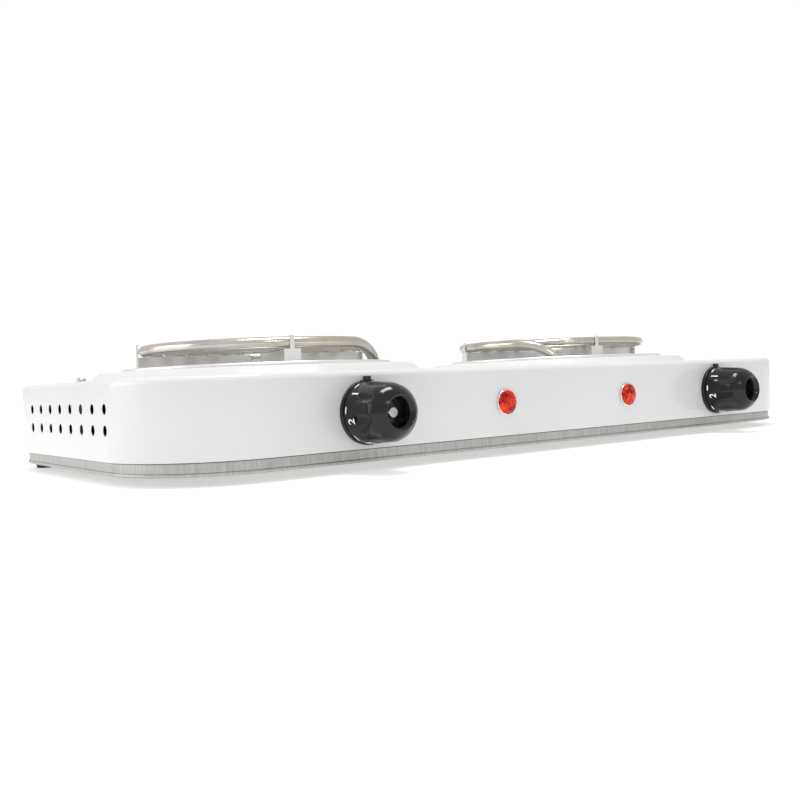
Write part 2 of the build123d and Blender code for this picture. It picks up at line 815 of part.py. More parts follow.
def lamp_housing(side):
    """Tube through the panel with a thin bright rim in front."""
    rim = rod_y(lamp_rim_radius, -lamp_rim_proud, 0, lamp_x[side], lamp_up)
    rim = fillet(rim.edges().sort_by(Axis.Y)[0], 0.5)
    tube = rod_y(lamp_tube_radius, 0, lamp_rear, lamp_x[side], lamp_up)
    return rim + tube - rod_y(lamp_bore, -3.0, lamp_rear - 2.0, lamp_x[side], lamp_up)


def lamp_lens():
    """Domed lens: a stem in the housing and a cap over the rim's mouth."""
    stem = Cylinder(lamp_bore - close_gap, lens_stem, align=(Align.CENTER, Align.CENTER, Align.MAX))
    cap = Cylinder(lamp_rim_radius - 0.7, lens_proud, align=(Align.CENTER, Align.CENTER, Align.MIN))
    cap = fillet(cap.edges().sort_by(Axis.Z)[-1], lens_round)
    return stem + cap


def neon_bulb(side):
    """Small glow lamp inside the housing."""
    bulb = rod_y(bulb_radius, *bulb_back, lamp_x[side], lamp_up)
    return fillet(bulb.edges().sort_by(Axis.Y)[0], bulb_round)


def lamp_clip(side):
    """Push-on ring that grips the housing behind the panel."""
    low = shell_sheet + close_gap
    ring = rod_y(lamp_tube_radius + clip_wall, low, low + clip_sheet, lamp_x[side], lamp_up)
    return ring - rod_y(lamp_tube_radius + fit_gap, -1.0, 5.0, lamp_x[side], lamp_up)


# --- Mains connection --------------------------------------------------------

pole_x = (-24.0, -12.0, 0.0, 12.0, 24.0)
pole_ups = (9.5, 14.0)
block_up = tray_floor + 14.0
block_hole_depth = 6.0
well_radius = 2.2
well_depth = 3.0
well_offset = 4.0
wire_end_back = 193.0
lamp_wire_gap = 2.5
live_lane = 24.0
neutral_lane = 12.0


def terminal_block():
    """Five-pole porcelain block with wire holes front and rear and screw wells on top."""
    back = sum(block_back) / 2
    block = brick((-block_half, block_half), block_back, (tray_floor, block_up))
    for x in pole_x:
        for up in pole_ups:
            hole_end = block_back[0] + block_hole_depth
            block -= rod_y(wire_radius + 0.4, block_back[0] - 1.0, hole_end, x, up)
        rear_hole = block_back[1] - block_hole_depth
        block -= rod_y(well_radius, rear_hole, block_back[1] + 1.0, x, sum(pole_ups) / 2)
        for offset in (-well_offset, well_offset):
            well_low = block_up - well_depth
            block -= rod_z(well_radius, well_low, block_up + 1.0, x, front_y + back + offset)
    for x in block_screw_x:
        block -= rod_z(m3_radius + hole_gap, 0, block_up + 1.0, x, front_y + back)
    return block


def terminal_screws():
    """Clamp screws in the block's wells and the two screws that hold it down."""
    back = sum(block_back) / 2
    screws = []
    for x in pole_x:
        for offset in (-well_offset, well_offset):
            head = Cylinder(1.9, 2.2) - Pos(0, 0, 1.1) * Box(4.0, 0.6, 1.2)
            screws.append(Pos(x, front_y + back + offset, block_up - 1.7) * head)
    for x in block_screw_x:
        screw = pan_screw(m3_radius, m3_head_radius, m3_head_height, block_up - foot_height)
        screws.append(Pos(x, front_y + back, block_up) * screw)
    return screws


def cord_gland():
    """Rubber bushing in the back of the shell where the mains cord enters."""
    wall_rear = body_depth
    outside = rod_y(gland_bore + gland_flange, wall_rear, wall_rear + gland_proud, 0, gland_up)
    outside = fillet(outside.edges().sort_by(Axis.Y)[-1], 1.2)
    neck = rod_y(gland_bore + gland_wall, wall_rear - 5.0, wall_rear + 1.0, 0, gland_up)
    rear_lip = wall_rear - shell_sheet - close_gap
    inside = rod_y(gland_bore + gland_flange - 0.5, rear_lip - 2.5, rear_lip, 0, gland_up)
    bore = rod_y(gland_bore, wall_rear - 10.0, wall_rear + 10.0, 0, gland_up)
    return outside + neck + inside - bore


def earth_stud():
    """Earth screw through the tray with its nuts."""
    y = front_y + earth_back
    upper_nut = tray_floor + earth_nut_height + earth_ring_sheet + 2 * close_gap
    stud = rod_z(m4_radius, foot_height - 1.8, upper_nut + earth_nut_height + 1.5, 0, y)
    stud += rod_z(3.6, foot_height - 1.8, foot_height, 0, y)
    for low in (tray_floor, upper_nut):
        nut = extrude(RegularPolygon(earth_nut_radius, 6, major_radius=False), earth_nut_height)
        stud += Pos(0, y, low) * nut
    return stud


# --- Internal wires ----------------------------------------------------------


def wire(bend, *points):
    """One insulated wire: straight runs joined by tangent arcs of one radius."""
    places = [Vector(x, front_y + back, up) for x, back, up in points]
    path = FilletPolyline(*places, radius=bend)
    section = Plane(origin=path @ 0, z_dir=path % 0) * Circle(wire_radius)
    return sweep(section, path=path)


def leg_place(side, leg):
    """The x and the depth of an element's leg on one side of the appliance."""
    point = burner_place(side, coil_turn[side]) * Pos(leg.X, leg.Y, 0)
    return point.position.X, point.position.Y - front_y


def supply_wire(side):
    """Live feed from the block to a regulator's feed blade."""
    x = knob_x[side] + feed_x + spade_sheet / 2
    up = knob_up + terminal_up - spade_width / 2
    lane = sides[side] * live_lane
    low = pole_ups[0]
    run = 44.0
    start = (x, spade_end + close_gap, up)
    return wire(
        wire_bend, start, (x, run, up), (x, run, low), (lane, run, low), (lane, wire_end_back, low)
    )


def burner_wires(side):
    """Regulator to the element's outer pin, and its inner pin to the block."""
    x = knob_x[side] + fixed_x + spade_sheet / 2
    up = knob_up - terminal_up + spade_width / 2
    low = pole_ups[1]
    outer_x, outer_back = leg_place(side, outer_leg)
    inner_x, inner_back = leg_place(side, inner_leg)
    end_up = pin_end_up - close_gap
    switched = wire(
        short_bend,
        (x, spade_end + close_gap, up),
        (x, 42.0, up),
        (x, 56.0, low),
        (outer_x, 56.0, low),
        (outer_x, outer_back, low),
        (outer_x, outer_back, end_up),
    )
    lane = sides[side] * neutral_lane
    neutral = wire(
        short_bend,
        (inner_x, inner_back, end_up),
        (inner_x, inner_back, low),
        (inner_x, 174.0, low),
        (lane, 174.0, low),
        (lane, wire_end_back, low),
    )
    return switched, neutral


def lamp_wires(side):
    """Each lamp sits across its burner: one lead to the regulator, one to the block."""
    sign = sides[side]
    start = lamp_rear + close_gap
    low = pole_ups[0]
    neutral_x = lamp_x[side] - sign * lamp_wire_gap
    lane = sign * neutral_lane
    neutral = wire(
        wire_bend,
        (neutral_x, start, lamp_up),
        (neutral_x, 30.0, lamp_up),
        (neutral_x, 30.0, low),
        (lane, 30.0, low),
        (lane, wire_end_back, low),
    )
    live_x = lamp_x[side] + sign * lamp_wire_gap
    spade_x = knob_x[side] + fixed_x + spade_sheet / 2
    gap = spade_sheet / 2 + close_gap
    spade_up = knob_up - terminal_up + spade_width / 2
    live = wire(
        short_bend,
        (live_x, start, lamp_up),
        (live_x, 31.0, lamp_up),
        (live_x, 31.0, spade_up),
        (spade_x - sign * gap, 31.0, spade_up),
    )
    return neutral, live


def earth_wire():
    """Short wire from the block's middle pole to a ring on the earth stud."""
    low = pole_ups[0]
    ring_low = tray_floor + earth_nut_height + close_gap
    ring_up = ring_low + earth_ring_sheet / 2
    y = front_y + earth_back
    ring = rod_z(earth_ring_radius, ring_low, ring_low + earth_ring_sheet, 0, y)
    ring -= rod_z(m4_radius + close_gap, 0, 20.0, 0, y)
    start = (0, earth_back + earth_ring_radius - 0.4, ring_up)
    lead = wire(wire_bend, start, (0, 165.0, ring_up), (0, 175.0, low), (0, wire_end_back, low))
    return ring + lead


# --- Write every node --------------------------------------------------------

save("top_shell", top_shell())
save("base_tray", base_tray())
save("rubber_feet", *rubber_feet())
save("foot_screws", *foot_screws())
save("corner_pillars", *corner_pillars())
save("base_screws", *base_screws())
save("top_screws", *top_screws())
save("support_screws", *support_screws())
save("strap_nuts", *strap_nuts())
save("panel_screws", *panel_screws())
save("arm_pivots", *[Pos(knob_x[side], 0, 0) * arm_pivot() for side in sides])
save("lamp_housings", *[lamp_housing(side) for side in sides])
save("neon_bulbs", *[neon_bulb(side) for side in sides])
save("lamp_clips", *[lamp_clip(side) for side in sides])
save("terminal_block", terminal_block())
save("terminal_screws", *terminal_screws())
save("cord_gland", cord_gland())
save("earth_stud", earth_stud())
save("supply_wires", *[supply_wire(side) for side in sides])
save("lamp_wires", *[lead for side in sides for lead in lamp_wires(side)])
save("earth_wire", earth_wire())

for side in sides:
    on_burner = burner_place(side, coil_turn[side])
    save(f"{side}_drip_bowl", on_burner * drip_bowl())
    save(f"{side}_element_support", burner_place(side) * element_support(side))
    save(f"{side}_heating_element", on_burner * heating_element())
    save(f"{side}_element_pins", *[on_burner * pin for pin in element_pins()])
    save(f"{side}_element_insulators", *[on_burner * bead for bead in element_insulators()])
    save(f"{side}_clamp_strap", burner_place(side) * clamp_strap())
    beside = Pos(knob_x[side], 0, 0)
    save(f"{side}_knob", facing_front(side, knob_rear) * knob())
    save(f"{side}_knob_screw", facing_front(side, recess_floor) * knob_screw())
    save(f"{side}_knob_bezel", facing_front(side, 0) * bezel())
    save(f"{side}_regulator_spindle", facing_front(side, spindle_front) * spindle())
    save(f"{side}_regulator_cam", facing_front(side, cam_back[1]) * cam())
    save(f"{side}_regulator_case", beside * regulator_case())
    save(f"{side}_regulator_plate", beside * regulator_plate())
    save(f"{side}_pusher_pin", beside * pusher())
    save(f"{side}_contact_arm", beside * contact_arm())
    save(f"{side}_regulator_terminals", *[beside * blade for blade in regulator_terminals()])
    save(f"{side}_lamp_lens", lamp_place(side, -lamp_rim_proud) * lamp_lens())
    save(f"{side}_burner_wires", *burner_wires(side))
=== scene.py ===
"""Looks of the hot plate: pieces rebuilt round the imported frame, their finishes, and a plain studio.

Everything is in metres, in the frame's axes: +X to the user's right, +Y to the back, +Z up.
Places come from the frame's boxes, and the maker's sizes below are written in millimetres.
"""

import json
from math import acos, atan2, cos, pi, radians, sin, sqrt, tan

import bmesh
import bpy
from mathutils import Matrix, Vector


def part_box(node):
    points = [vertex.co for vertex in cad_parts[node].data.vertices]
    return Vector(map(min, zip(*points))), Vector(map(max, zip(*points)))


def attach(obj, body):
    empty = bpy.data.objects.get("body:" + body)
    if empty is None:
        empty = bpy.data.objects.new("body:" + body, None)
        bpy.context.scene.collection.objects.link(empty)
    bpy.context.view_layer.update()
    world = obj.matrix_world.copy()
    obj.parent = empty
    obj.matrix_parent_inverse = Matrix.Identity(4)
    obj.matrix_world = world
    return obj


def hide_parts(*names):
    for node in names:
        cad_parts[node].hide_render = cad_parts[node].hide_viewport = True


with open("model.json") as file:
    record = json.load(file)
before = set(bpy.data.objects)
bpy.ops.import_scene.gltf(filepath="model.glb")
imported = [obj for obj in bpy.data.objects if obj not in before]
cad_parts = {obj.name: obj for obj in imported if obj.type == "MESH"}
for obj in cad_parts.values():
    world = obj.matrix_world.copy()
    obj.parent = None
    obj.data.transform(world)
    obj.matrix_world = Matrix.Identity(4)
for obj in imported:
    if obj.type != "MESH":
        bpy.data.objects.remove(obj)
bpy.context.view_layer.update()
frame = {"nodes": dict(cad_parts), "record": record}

MM = 0.001

# Body: plan outline, heights, and the two raised plinths.
shell_low, shell_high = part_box("top_shell")
tray_low, tray_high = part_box("base_tray")
half_length = shell_high.x
front_y = shell_low.y
rear_y = shell_high.y
middle_y = (front_y + rear_y) / 2
half_depth = (rear_y - front_y) / 2
corner_radius = 54 * MM
corner_steps = 20
wall_reach = 0.1 * MM
shell_bottom = shell_low.z
plinth_up = shell_high.z
top_roll = 3.3 * MM
sheet = 0.8 * MM
pillar_gap = 0.1 * MM
top_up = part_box("corner_pillars")[1].z + pillar_gap + sheet
plinth_height = plinth_up - top_up
plinth_foot_radius = 97 * MM
plinth_top_radius = 92 * MM
plinth_roll = 3 * MM
plinth_foot_roll = 2 * MM
opening_radius = 78.0 * MM
opening_edge = 0.8 * MM
opening_lip = 2.4 * MM
ring_steps = 128

# Vents in both ends.
vent_radius = 2.45 * MM
vent_edge = 0.5 * MM
vent_sink = 0.35 * MM
vent_pitch = 16.1 * MM
vent_count = 8
vent_first_y = front_y + 168.6 * MM
vent_rows_up = (25.4 * MM, 35.3 * MM)

# Tray: wall, rolled hem, cooling slots.
hem_proud = 0.6 * MM
tray_inset = half_length - tray_high.x + hem_proud
hem_height = 1.8 * MM
hem_neck = 0.3 * MM
tray_sheet = 0.7 * MM
slot_half_run = 28 * MM
slot_radius = 2 * MM
slot_pitch = 14 * MM

# Bowls and elements.
bead_radius = 1.0 * MM
bead_tuck = 0.4 * MM
bowl_corner = 2.5 * MM
tube_radius = 3.25 * MM
coil_radius = 71.75 * MM
coil_pitch = 13 * MM
coil_half_turns = 7
coil_start = radians(-74)
coil_turn = {"left": 0.0, "right": radians(-84)}
slope_bend = 35 * MM
slope_angle = radians(54)
slope_lean = radians(25)
foot_bend = 12 * MM
inner_bend = 10 * MM
leg_low = 32 * MM

# Knobs.
knob_skirt_radius = 15.2 * MM
knob_nose_radius = 13.4 * MM
knob_round = 12 * MM
knob_dish_radius = 8.3 * MM
knob_dish_depth = 2.6 * MM
knob_recess_radius = 6.4 * MM
knob_recess_depth = 7.8 * MM
dish_edge = 0.7 * MM
dish_edge_drop = 0.25 * MM
skirt_wall = 2.2 * MM
skirt_depth = 6 * MM
skirt_edge = 0.8 * MM
skirt_bevel = 0.3 * MM
flute_count = 9
flute_middle = 12.5 * MM
flute_half_run = 7.2 * MM
flute_half_width = 2.7 * MM
flute_depth = 1.2 * MM
flute_clear = 2.5 * MM
flute_lowest = 3 * MM
numeral_angles = {"1": 52, "2": 104, "3": 163, "4": 216, "5": 270}
numeral_size = 6.4 * MM
numeral_up = 5.6 * MM
ramp_up = 1.9 * MM
ramp_half_width = 0.42 * MM
ramp_place = 0.62
ramp_share = 0.14
off_dot_radius = 1.0 * MM
mark_lift = 0.08 * MM

# Pilot lamps.
lens_overlap = 0.4 * MM
lens_facets = 12
lens_proud = 1.8 * MM
lens_shank = 2 * MM
lens_shank_inset = 1 * MM
lens_edge = 0.5 * MM

sides = {"left": -1, "right": 1}


# --- Working on meshes -------------------------------------------------------


def only(kind, geometry):
    """The verts, edges or faces among what an operator gave back."""
    return [item for item in geometry if isinstance(item, kind)]


def loop_of(verts):
    """The edges whose two ends are both among some verts."""
    kept = set(verts)
    return list({edge for vert in verts for edge in vert.link_edges if set(edge.verts) <= kept})


def extrude_loop(mesh, loop, place):
    """Extrudes a loop of edges once and puts each new vert where place says. Returns the new loop."""
    made = bmesh.ops.extrude_edge_only(mesh, edges=loop)["geom"]
    verts = only(bmesh.types.BMVert, made)
    for vert in verts:
        vert.co = place(vert.co)
    return loop_of(verts)


def circle(mesh, radius, steps, place):
    """A loop of edges in a circle."""
    verts = bmesh.ops.create_circle(mesh, segments=steps, radius=radius, matrix=place)["verts"]
    return loop_of(verts)


def chain(mesh, points):
    """A run of edges through a few points, to be spun into a shape."""
    verts = [mesh.verts.new(point) for point in points]
    edges = [mesh.edges.new(pair) for pair in zip(verts, verts[1:])]
    return verts + edges


def arc(centre_r, centre_up, radius, start, finish, steps):
    """Points of an arc in a half plane, as pairs of radius and height, with angles from outwards."""
    points = []
    for number in range(steps + 1):
        angle = start + (finish - start) * number / steps
        points.append((centre_r + radius * cos(angle), centre_up + radius * sin(angle)))
    return points


def turned(mesh, profile, place, steps=ring_steps):
    """A profile of radius and height pairs, spun about the Z axis and put in its place."""
    geometry = chain(mesh, [(radius, 0, up) for radius, up in profile])
    bmesh.ops.spin(
        mesh, geom=geometry, cent=(0, 0, 0), axis=(0, 0, 1), angle=2 * pi, steps=steps, use_merge=True
    )
    bmesh.ops.remove_doubles(mesh, verts=mesh.verts, dist=1e-6)
    bmesh.ops.recalc_face_normals(mesh, faces=mesh.faces)
    bmesh.ops.transform(mesh, matrix=place, verts=mesh.verts)


def make_piece(mesh, name, finishes, body, nodes, sharp=35):
    """Turns a bmesh into a finished piece that rides on a body and stands for its CAD nodes."""
    data = bpy.data.meshes.new(name)
    mesh.to_mesh(data)
    mesh.free()
    data.shade_smooth()
    data.set_sharp_from_angle(angle=radians(sharp))
    piece = bpy.data.objects.new(name, data)
    bpy.context.scene.collection.objects.link(piece)
    for coat in finishes:
        data.materials.append(coat)
    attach(piece, body)
    if nodes:
        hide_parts(*nodes)
    return piece


def soften(piece, width, segments=2, angle=40):
    """Rounds a piece's sharp edges a little."""
    bevel = piece.modifiers.new("edges", "BEVEL")
    bevel.width = width
    bevel.segments = segments
    bevel.limit_method = "ANGLE"
    bevel.angle_limit = radians(angle)
    bevel.harden_normals = False
    even_shading(piece)


def even_shading(piece):
    """Keeps flat faces flat where they meet rounded ones."""
    weighted = piece.modifiers.new("shading", "WEIGHTED_NORMAL")
    weighted.keep_sharp = True


def softened_copy(node, name, slot, width, segments=2):
    """A fixed CAD node's shape with its doubles merged, flats dissolved and edges rounded."""
    mesh = bmesh.new()
    mesh.from_mesh(frame["nodes"][node].data)
    bmesh.ops.remove_doubles(mesh, verts=mesh.verts, dist=2e-6)
    bmesh.ops.dissolve_limit(
        mesh, angle_limit=radians(0.5), verts=mesh.verts, edges=mesh.edges, use_dissolve_boundaries=False
    )
    piece = make_piece(mesh, name, [finish[slot]], "appliance", [node])
    soften(piece, width, segments)
    return piece


# --- Finishes ----------------------------------------------------------------


class Finish:
    """A material under construction: a principled shader and the nodes that feed it."""

    def __init__(self, name, **settings):
        self.material = bpy.data.materials.new(name)
        self.material.use_nodes = True
        self.nodes = self.material.node_tree.nodes
        self.links = self.material.node_tree.links
        self.shader = self.nodes["Principled BSDF"]
        for socket, value in settings.items():
            self.shader.inputs[socket.replace("_", " ")].default_value = value

    def add(self, kind, output=0, settings=None, **inputs):
        """A node with its inputs linked or set. Gives back one of its outputs."""
        node = self.nodes.new("ShaderNode" + kind)
        for name, value in (settings or {}).items():
            setattr(node, name, value)
        for name, value in inputs.items():
            key = int(name[1:]) if name[0] == "i" and name[1:].isdigit() else name.replace("_", " ")
            if isinstance(value, bpy.types.NodeSocket):
                self.links.new(value, node.inputs[key])
            else:
                node.inputs[key].default_value = value
        return node.outputs[output]

    def place(self, scale=(1, 1, 1), centre=(0, 0, 0), turn=(0, 0, 0)):
        """Object coordinates, moved so that centre is the origin, turned and scaled."""
        where = self.add("TexCoord", output="Object")
        if centre != (0, 0, 0):
            where = self.add("VectorMath", settings={"operation": "SUBTRACT"}, i0=where, i1=centre)
        return self.add("Mapping", Vector=where, Rotation=turn, Scale=scale)

    def noise(self, where, scale, detail=3.0, rough=0.55, distortion=0.0):
        """Cloudy noise between 0 and 1."""
        return self.add(
            "TexNoise", Vector=where, Scale=scale, Detail=detail, Roughness=rough, Distortion=distortion
        )

    def ramp(self, share, *stops):
        """Colours along a share from 0 to 1."""
        node = self.nodes.new("ShaderNodeValToRGB")
        self.links.new(share, node.inputs[0])
        while len(node.color_ramp.elements) < len(stops):
            node.color_ramp.elements.new(0.5)
        for element, (position, colour) in zip(node.color_ramp.elements, stops):
            element.position = position
            element.color = (*colour, 1.0) if isinstance(colour, tuple) else (colour, colour, colour, 1.0)
        return node.outputs[0]

    def span(self, share, low, high, from_low=0.0, from_high=1.0):
        """A share stretched to a range of numbers."""
        return self.add(
            "MapRange", Value=share, From_Min=from_low, From_Max=from_high, To_Min=low, To_Max=high
        )

    def blend(self, share, first, second, kind="MIX"):
        """Two colours mixed by a share."""
        node = self.nodes.new("ShaderNodeMix")
        node.data_type = "RGBA"
        node.blend_type = kind
        for key, value in ((0, share), (6, first), (7, second)):
            if isinstance(value, bpy.types.NodeSocket):
                self.links.new(value, node.inputs[key])
            else:
                node.inputs[key].default_value = value if key == 0 else (*value, 1.0)
        return node.outputs[2]

    def edges(self, low=0.52, high=0.6):
        """1 along outer edges and 0 elsewhere."""
        point = self.add("NewGeometry", output="Pointiness")
        return self.add("MapRange", Value=point, From_Min=low, From_Max=high)

    def bump(self, height, distance, strength=1.0):
        """Relief on the whole surface, added to any relief before it."""
        node = self.nodes.new("ShaderNodeBump")
        node.inputs["Strength"].default_value = strength
        node.inputs["Distance"].default_value = distance
        self.links.new(height, node.inputs["Height"])
        for link in list(self.links):
            if link.to_socket == self.shader.inputs["Normal"]:
                self.links.new(link.from_socket, node.inputs["Normal"])
        self.links.new(node.outputs[0], self.shader.inputs["Normal"])

    def feed(self, **sockets):
        """Links outputs to the shader."""
        for name, value in sockets.items():
            self.links.new(value, self.shader.inputs[name.replace("_", " ")])
        return self


def white_enamel():
    """Gloss white paint: faint waves, a little dust in the lower part, softer sheen in patches."""
    paint = Finish("white_enamel", Coat_Weight=0.2, Coat_Roughness=0.05, IOR=1.45)
    where = paint.place()
    cloud = paint.noise(where, 9, 4)
    fine = paint.noise(where, 700, 2)
    tone = paint.ramp(cloud, (0.3, (0.60, 0.605, 0.60)), (0.7, (0.64, 0.645, 0.645)))
    up = paint.add("SeparateXYZ", output="Z", Vector=where)
    low = paint.span(up, 1.0, 0.0, shell_bottom, shell_bottom + 14 * MM)
    dust = paint.add("Math", settings={"operation": "MULTIPLY"}, i0=low, i1=paint.noise(where, 60, 5))
    tone = paint.blend(paint.span(dust, 0.0, 0.16), tone, (0.62, 0.60, 0.56))
    paint.feed(Base_Color=tone, Roughness=paint.span(paint.noise(where, 35, 5), 0.12, 0.26))
    paint.bump(fine, 0.03 * MM, 0.25)
    paint.bump(cloud, 0.4 * MM, 0.12)
    return paint.material


def shell_inside():
    """Thin dark ground coat on the inside of the shell."""
    coat = Finish("shell_inside_coat", Roughness=0.85)
    where = coat.place()
    mottled = coat.noise(where, 120, 5)
    coat.feed(Base_Color=coat.ramp(mottled, (0.3, (0.010, 0.010, 0.011)), (0.7, (0.028, 0.027, 0.026))))
    coat.bump(mottled, 0.1 * MM, 0.4)
    return coat.material


def galvanised():
    """Zinc-coated sheet: upright streaks, faint crystal patches, dull stains, and painted shade that
    turns the wall near black from just under the shell's bottom edge upwards.
    """
    zinc = Finish("galvanised_steel", Metallic=0.75, IOR=1.5)
    where = zinc.place()
    streaks = zinc.noise(zinc.place(scale=(1, 1, 0.04)), 900, 4, 0.75)
    broad = zinc.noise(zinc.place(scale=(1, 1, 0.1)), 60, 3, 0.6)
    crystals = zinc.add("TexVoronoi", output="Color", Vector=where, Scale=190.0)
    crystals = zinc.add("RGBToBW", Color=crystals)
    tone = zinc.ramp(streaks, (0.32, (0.27, 0.27, 0.255)), (0.62, (0.42, 0.42, 0.40)))
    tone = zinc.blend(zinc.span(broad, 0.0, 0.35, 0.4, 0.75), tone, (0.38, 0.38, 0.355))
    tone = zinc.blend(zinc.span(crystals, 0.0, 0.16), tone, (0.60, 0.60, 0.585))
    worn = zinc.edges()
    tone = zinc.blend(zinc.span(worn, 0.0, 0.5), tone, (0.80, 0.80, 0.77))
    # Painted shade: the wall goes near black from just under the shell's bottom edge upwards, standing in
    # for the shadow in the gap between shell and tray.
    up = zinc.add("SeparateXYZ", output="Z", Vector=where)
    gap_shade = zinc.span(up, 0.0, 1.0, shell_bottom - 0.7 * MM, shell_bottom - 0.2 * MM)
    tone = zinc.blend(gap_shade, tone, (0.02, 0.02, 0.018))
    zinc.feed(Base_Color=tone, Roughness=zinc.span(streaks, 0.36, 0.58))
    zinc.bump(streaks, 0.06 * MM, 0.5)
    zinc.bump(crystals, 0.03 * MM, 0.3)
    return zinc.material


def spun_metal(name, centre, dark, light, rough):
    """Pressed or drawn metal with fine rings round a burner's centre and cloudy stains."""
    metal = Finish(name, Metallic=0.9, IOR=1.5)
    where = metal.place(centre=tuple(centre))
    flat = metal.add("VectorMath", settings={"operation": "MULTIPLY"}, i0=where, i1=(1, 1, 0))
    reach = metal.add("VectorMath", output="Value", settings={"operation": "LENGTH"}, i0=flat)
    up = metal.add("SeparateXYZ", output="Z", Vector=where)
    along = metal.add("CombineXYZ", X=reach, Y=0.0, Z=up)
    rings = metal.noise(along, 1400, 3, 0.7)
    cloud = metal.noise(where, 28, 5, 0.6)
    tone = metal.ramp(cloud, (0.35, dark), (0.68, light))
    groove = tuple(0.55 * value for value in light)
    tone = metal.blend(metal.span(rings, 0.0, 0.22, 0.35, 0.75), tone, groove)
    metal.feed(Base_Color=tone)
    spread = metal.add("Math", settings={"operation": "ADD"}, i0=metal.span(rings, -0.06, 0.08), i1=rough)
    metal.feed(Roughness=spread)
    metal.bump(rings, 0.02 * MM, 0.35)
    return metal


def element_sheath(side, centre):
    """Bright tube with drawn lines along it and straw and brown heat tints."""
    tube = spun_metal(f"element_sheath_{side}", centre, (0.48, 0.47, 0.445), (0.72, 0.71, 0.68), 0.17)
    where = tube.place(centre=tuple(centre))
    heat = tube.noise(where, 22, 4, 0.6, 0.4)
    flecks = tube.noise(where, 900, 3, 0.6)
    base = tube.shader.inputs["Base Color"].links[0].from_socket
    tint = tube.ramp(
        heat, (0.38, (0.96, 0.95, 0.93)), (0.55, (0.93, 0.88, 0.78)), (0.72, (0.74, 0.64, 0.52))
    )
    base = tube.blend(0.85, base, tint, "MULTIPLY")
    base = tube.blend(tube.span(flecks, 0.0, 0.35, 0.6, 0.85), base, (0.20, 0.17, 0.14))
    tube.feed(Base_Color=base)
    return tube.material


def support_steel():
    """Plain strip that has dulled, with darker ends near the heat."""
    strip = Finish("support_steel", Metallic=0.7, IOR=1.5)
    where = strip.place()
    cloud = strip.noise(where, 90, 5)
    grain = strip.noise(strip.place(scale=(1, 1, 0.2)), 900, 3)
    tone = strip.ramp(cloud, (0.3, (0.70, 0.70, 0.69)), (0.7, (0.84, 0.84, 0.83)))
    up = strip.add("SeparateXYZ", output="Z", Vector=where)
    hot = strip.span(up, 0.0, 0.35, 55 * MM, 68 * MM)
    tone = strip.blend(hot, tone, (0.52, 0.46, 0.38))
    strip.feed(Base_Color=tone, Roughness=strip.span(grain, 0.3, 0.5))
    strip.bump(grain, 0.03 * MM, 0.4)
    return strip.material


def bakelite(name, dark, light, gloss, wear):
    """Moulded phenolic: faint mottling, finger marks in the gloss and paler worn edges."""
    moulding = Finish(name, IOR=1.4, Coat_Weight=gloss, Coat_Roughness=0.06)
    where = moulding.place()
    mottle = moulding.noise(where, 260, 5, 0.65)
    marks = moulding.noise(where, 75, 4, 0.6, 0.6)
    specks = moulding.noise(where, 2600, 2)
    tone = moulding.ramp(mottle, (0.35, dark), (0.72, light))
    tone = moulding.blend(moulding.span(moulding.edges(0.53, 0.62), 0.0, wear), tone, (0.16, 0.15, 0.14))
    moulding.feed(Base_Color=tone, Roughness=moulding.span(marks, 0.1, 0.24, 0.35, 0.75))
    moulding.bump(specks, 0.01 * MM, 0.3)
    return moulding.material


def numeral_paint():
    """White filling in the numerals, slightly yellowed and chipped."""
    paint = Finish("numeral_paint", Roughness=0.45, IOR=1.5)
    where = paint.place()
    chips = paint.noise(where, 1900, 3)
    tone = paint.ramp(
        chips, (0.22, (0.30, 0.30, 0.29)), (0.42, (0.86, 0.86, 0.83)), (0.8, (0.92, 0.92, 0.90))
    )
    paint.feed(Base_Color=tone)
    paint.bump(chips, 0.02 * MM, 0.4)
    return paint.material


def amber_lens():
    """Clear orange-red plastic, deeper in colour where it is thick, with a faint painted glow in its own
    colour.
    """
    # Emission Strength 0.1, with the lens tone as its colour, is a painted glow: the lens gives off a
    # little light of its own.
    lens = Finish("amber_lens", IOR=1.3, Emission_Strength=0.1)
    where = lens.place()
    depth = lens.noise(where, 300, 3, 0.5, 0.5)
    cuts = lens.add("TexVoronoi", output="Color", Vector=where, Scale=520.0)
    cuts = lens.add("RGBToBW", Color=cuts)
    tone = lens.ramp(
        cuts, (0.25, (0.05, 0.002, 0.001)), (0.45, (0.42, 0.010, 0.002)), (0.8, (0.80, 0.05, 0.006))
    )
    tone = lens.blend(lens.span(depth, 0.0, 0.5, 0.4, 0.7), tone, (0.62, 0.018, 0.003))
    lens.feed(Base_Color=tone, Emission_Color=tone, Roughness=lens.span(depth, 0.06, 0.18))
    return lens.material


def bright_plate():
    """Bright plated brass with hairline scratches."""
    plate = Finish("bright_rim", Metallic=1.0, IOR=1.5)
    where = plate.place()
    hairs = plate.noise(plate.place(scale=(0.15, 1, 1)), 1800, 3)
    haze = plate.noise(where, 220, 4)
    plate.feed(
        Base_Color=plate.ramp(haze, (0.3, (0.62, 0.62, 0.61)), (0.7, (0.82, 0.82, 0.80))),
        Roughness=plate.span(hairs, 0.08, 0.24),
    )
    plate.bump(hairs, 0.01 * MM, 0.25)
    return plate.material


def zinc_plate():
    """Screws and small steel parts: bright zinc with duller patches and worn edges."""
    zinc = Finish("zinc_screws", Metallic=0.9, IOR=1.5)
    where = zinc.place()
    patches = zinc.noise(where, 320, 4)
    tone = zinc.ramp(patches, (0.3, (0.34, 0.34, 0.33)), (0.7, (0.58, 0.58, 0.56)))
    tone = zinc.blend(zinc.span(zinc.edges(), 0.0, 0.6), tone, (0.80, 0.80, 0.78))
    zinc.feed(Base_Color=tone, Roughness=zinc.span(patches, 0.28, 0.5))
    zinc.bump(zinc.noise(where, 2500, 2), 0.02 * MM, 0.3)
    return zinc.material


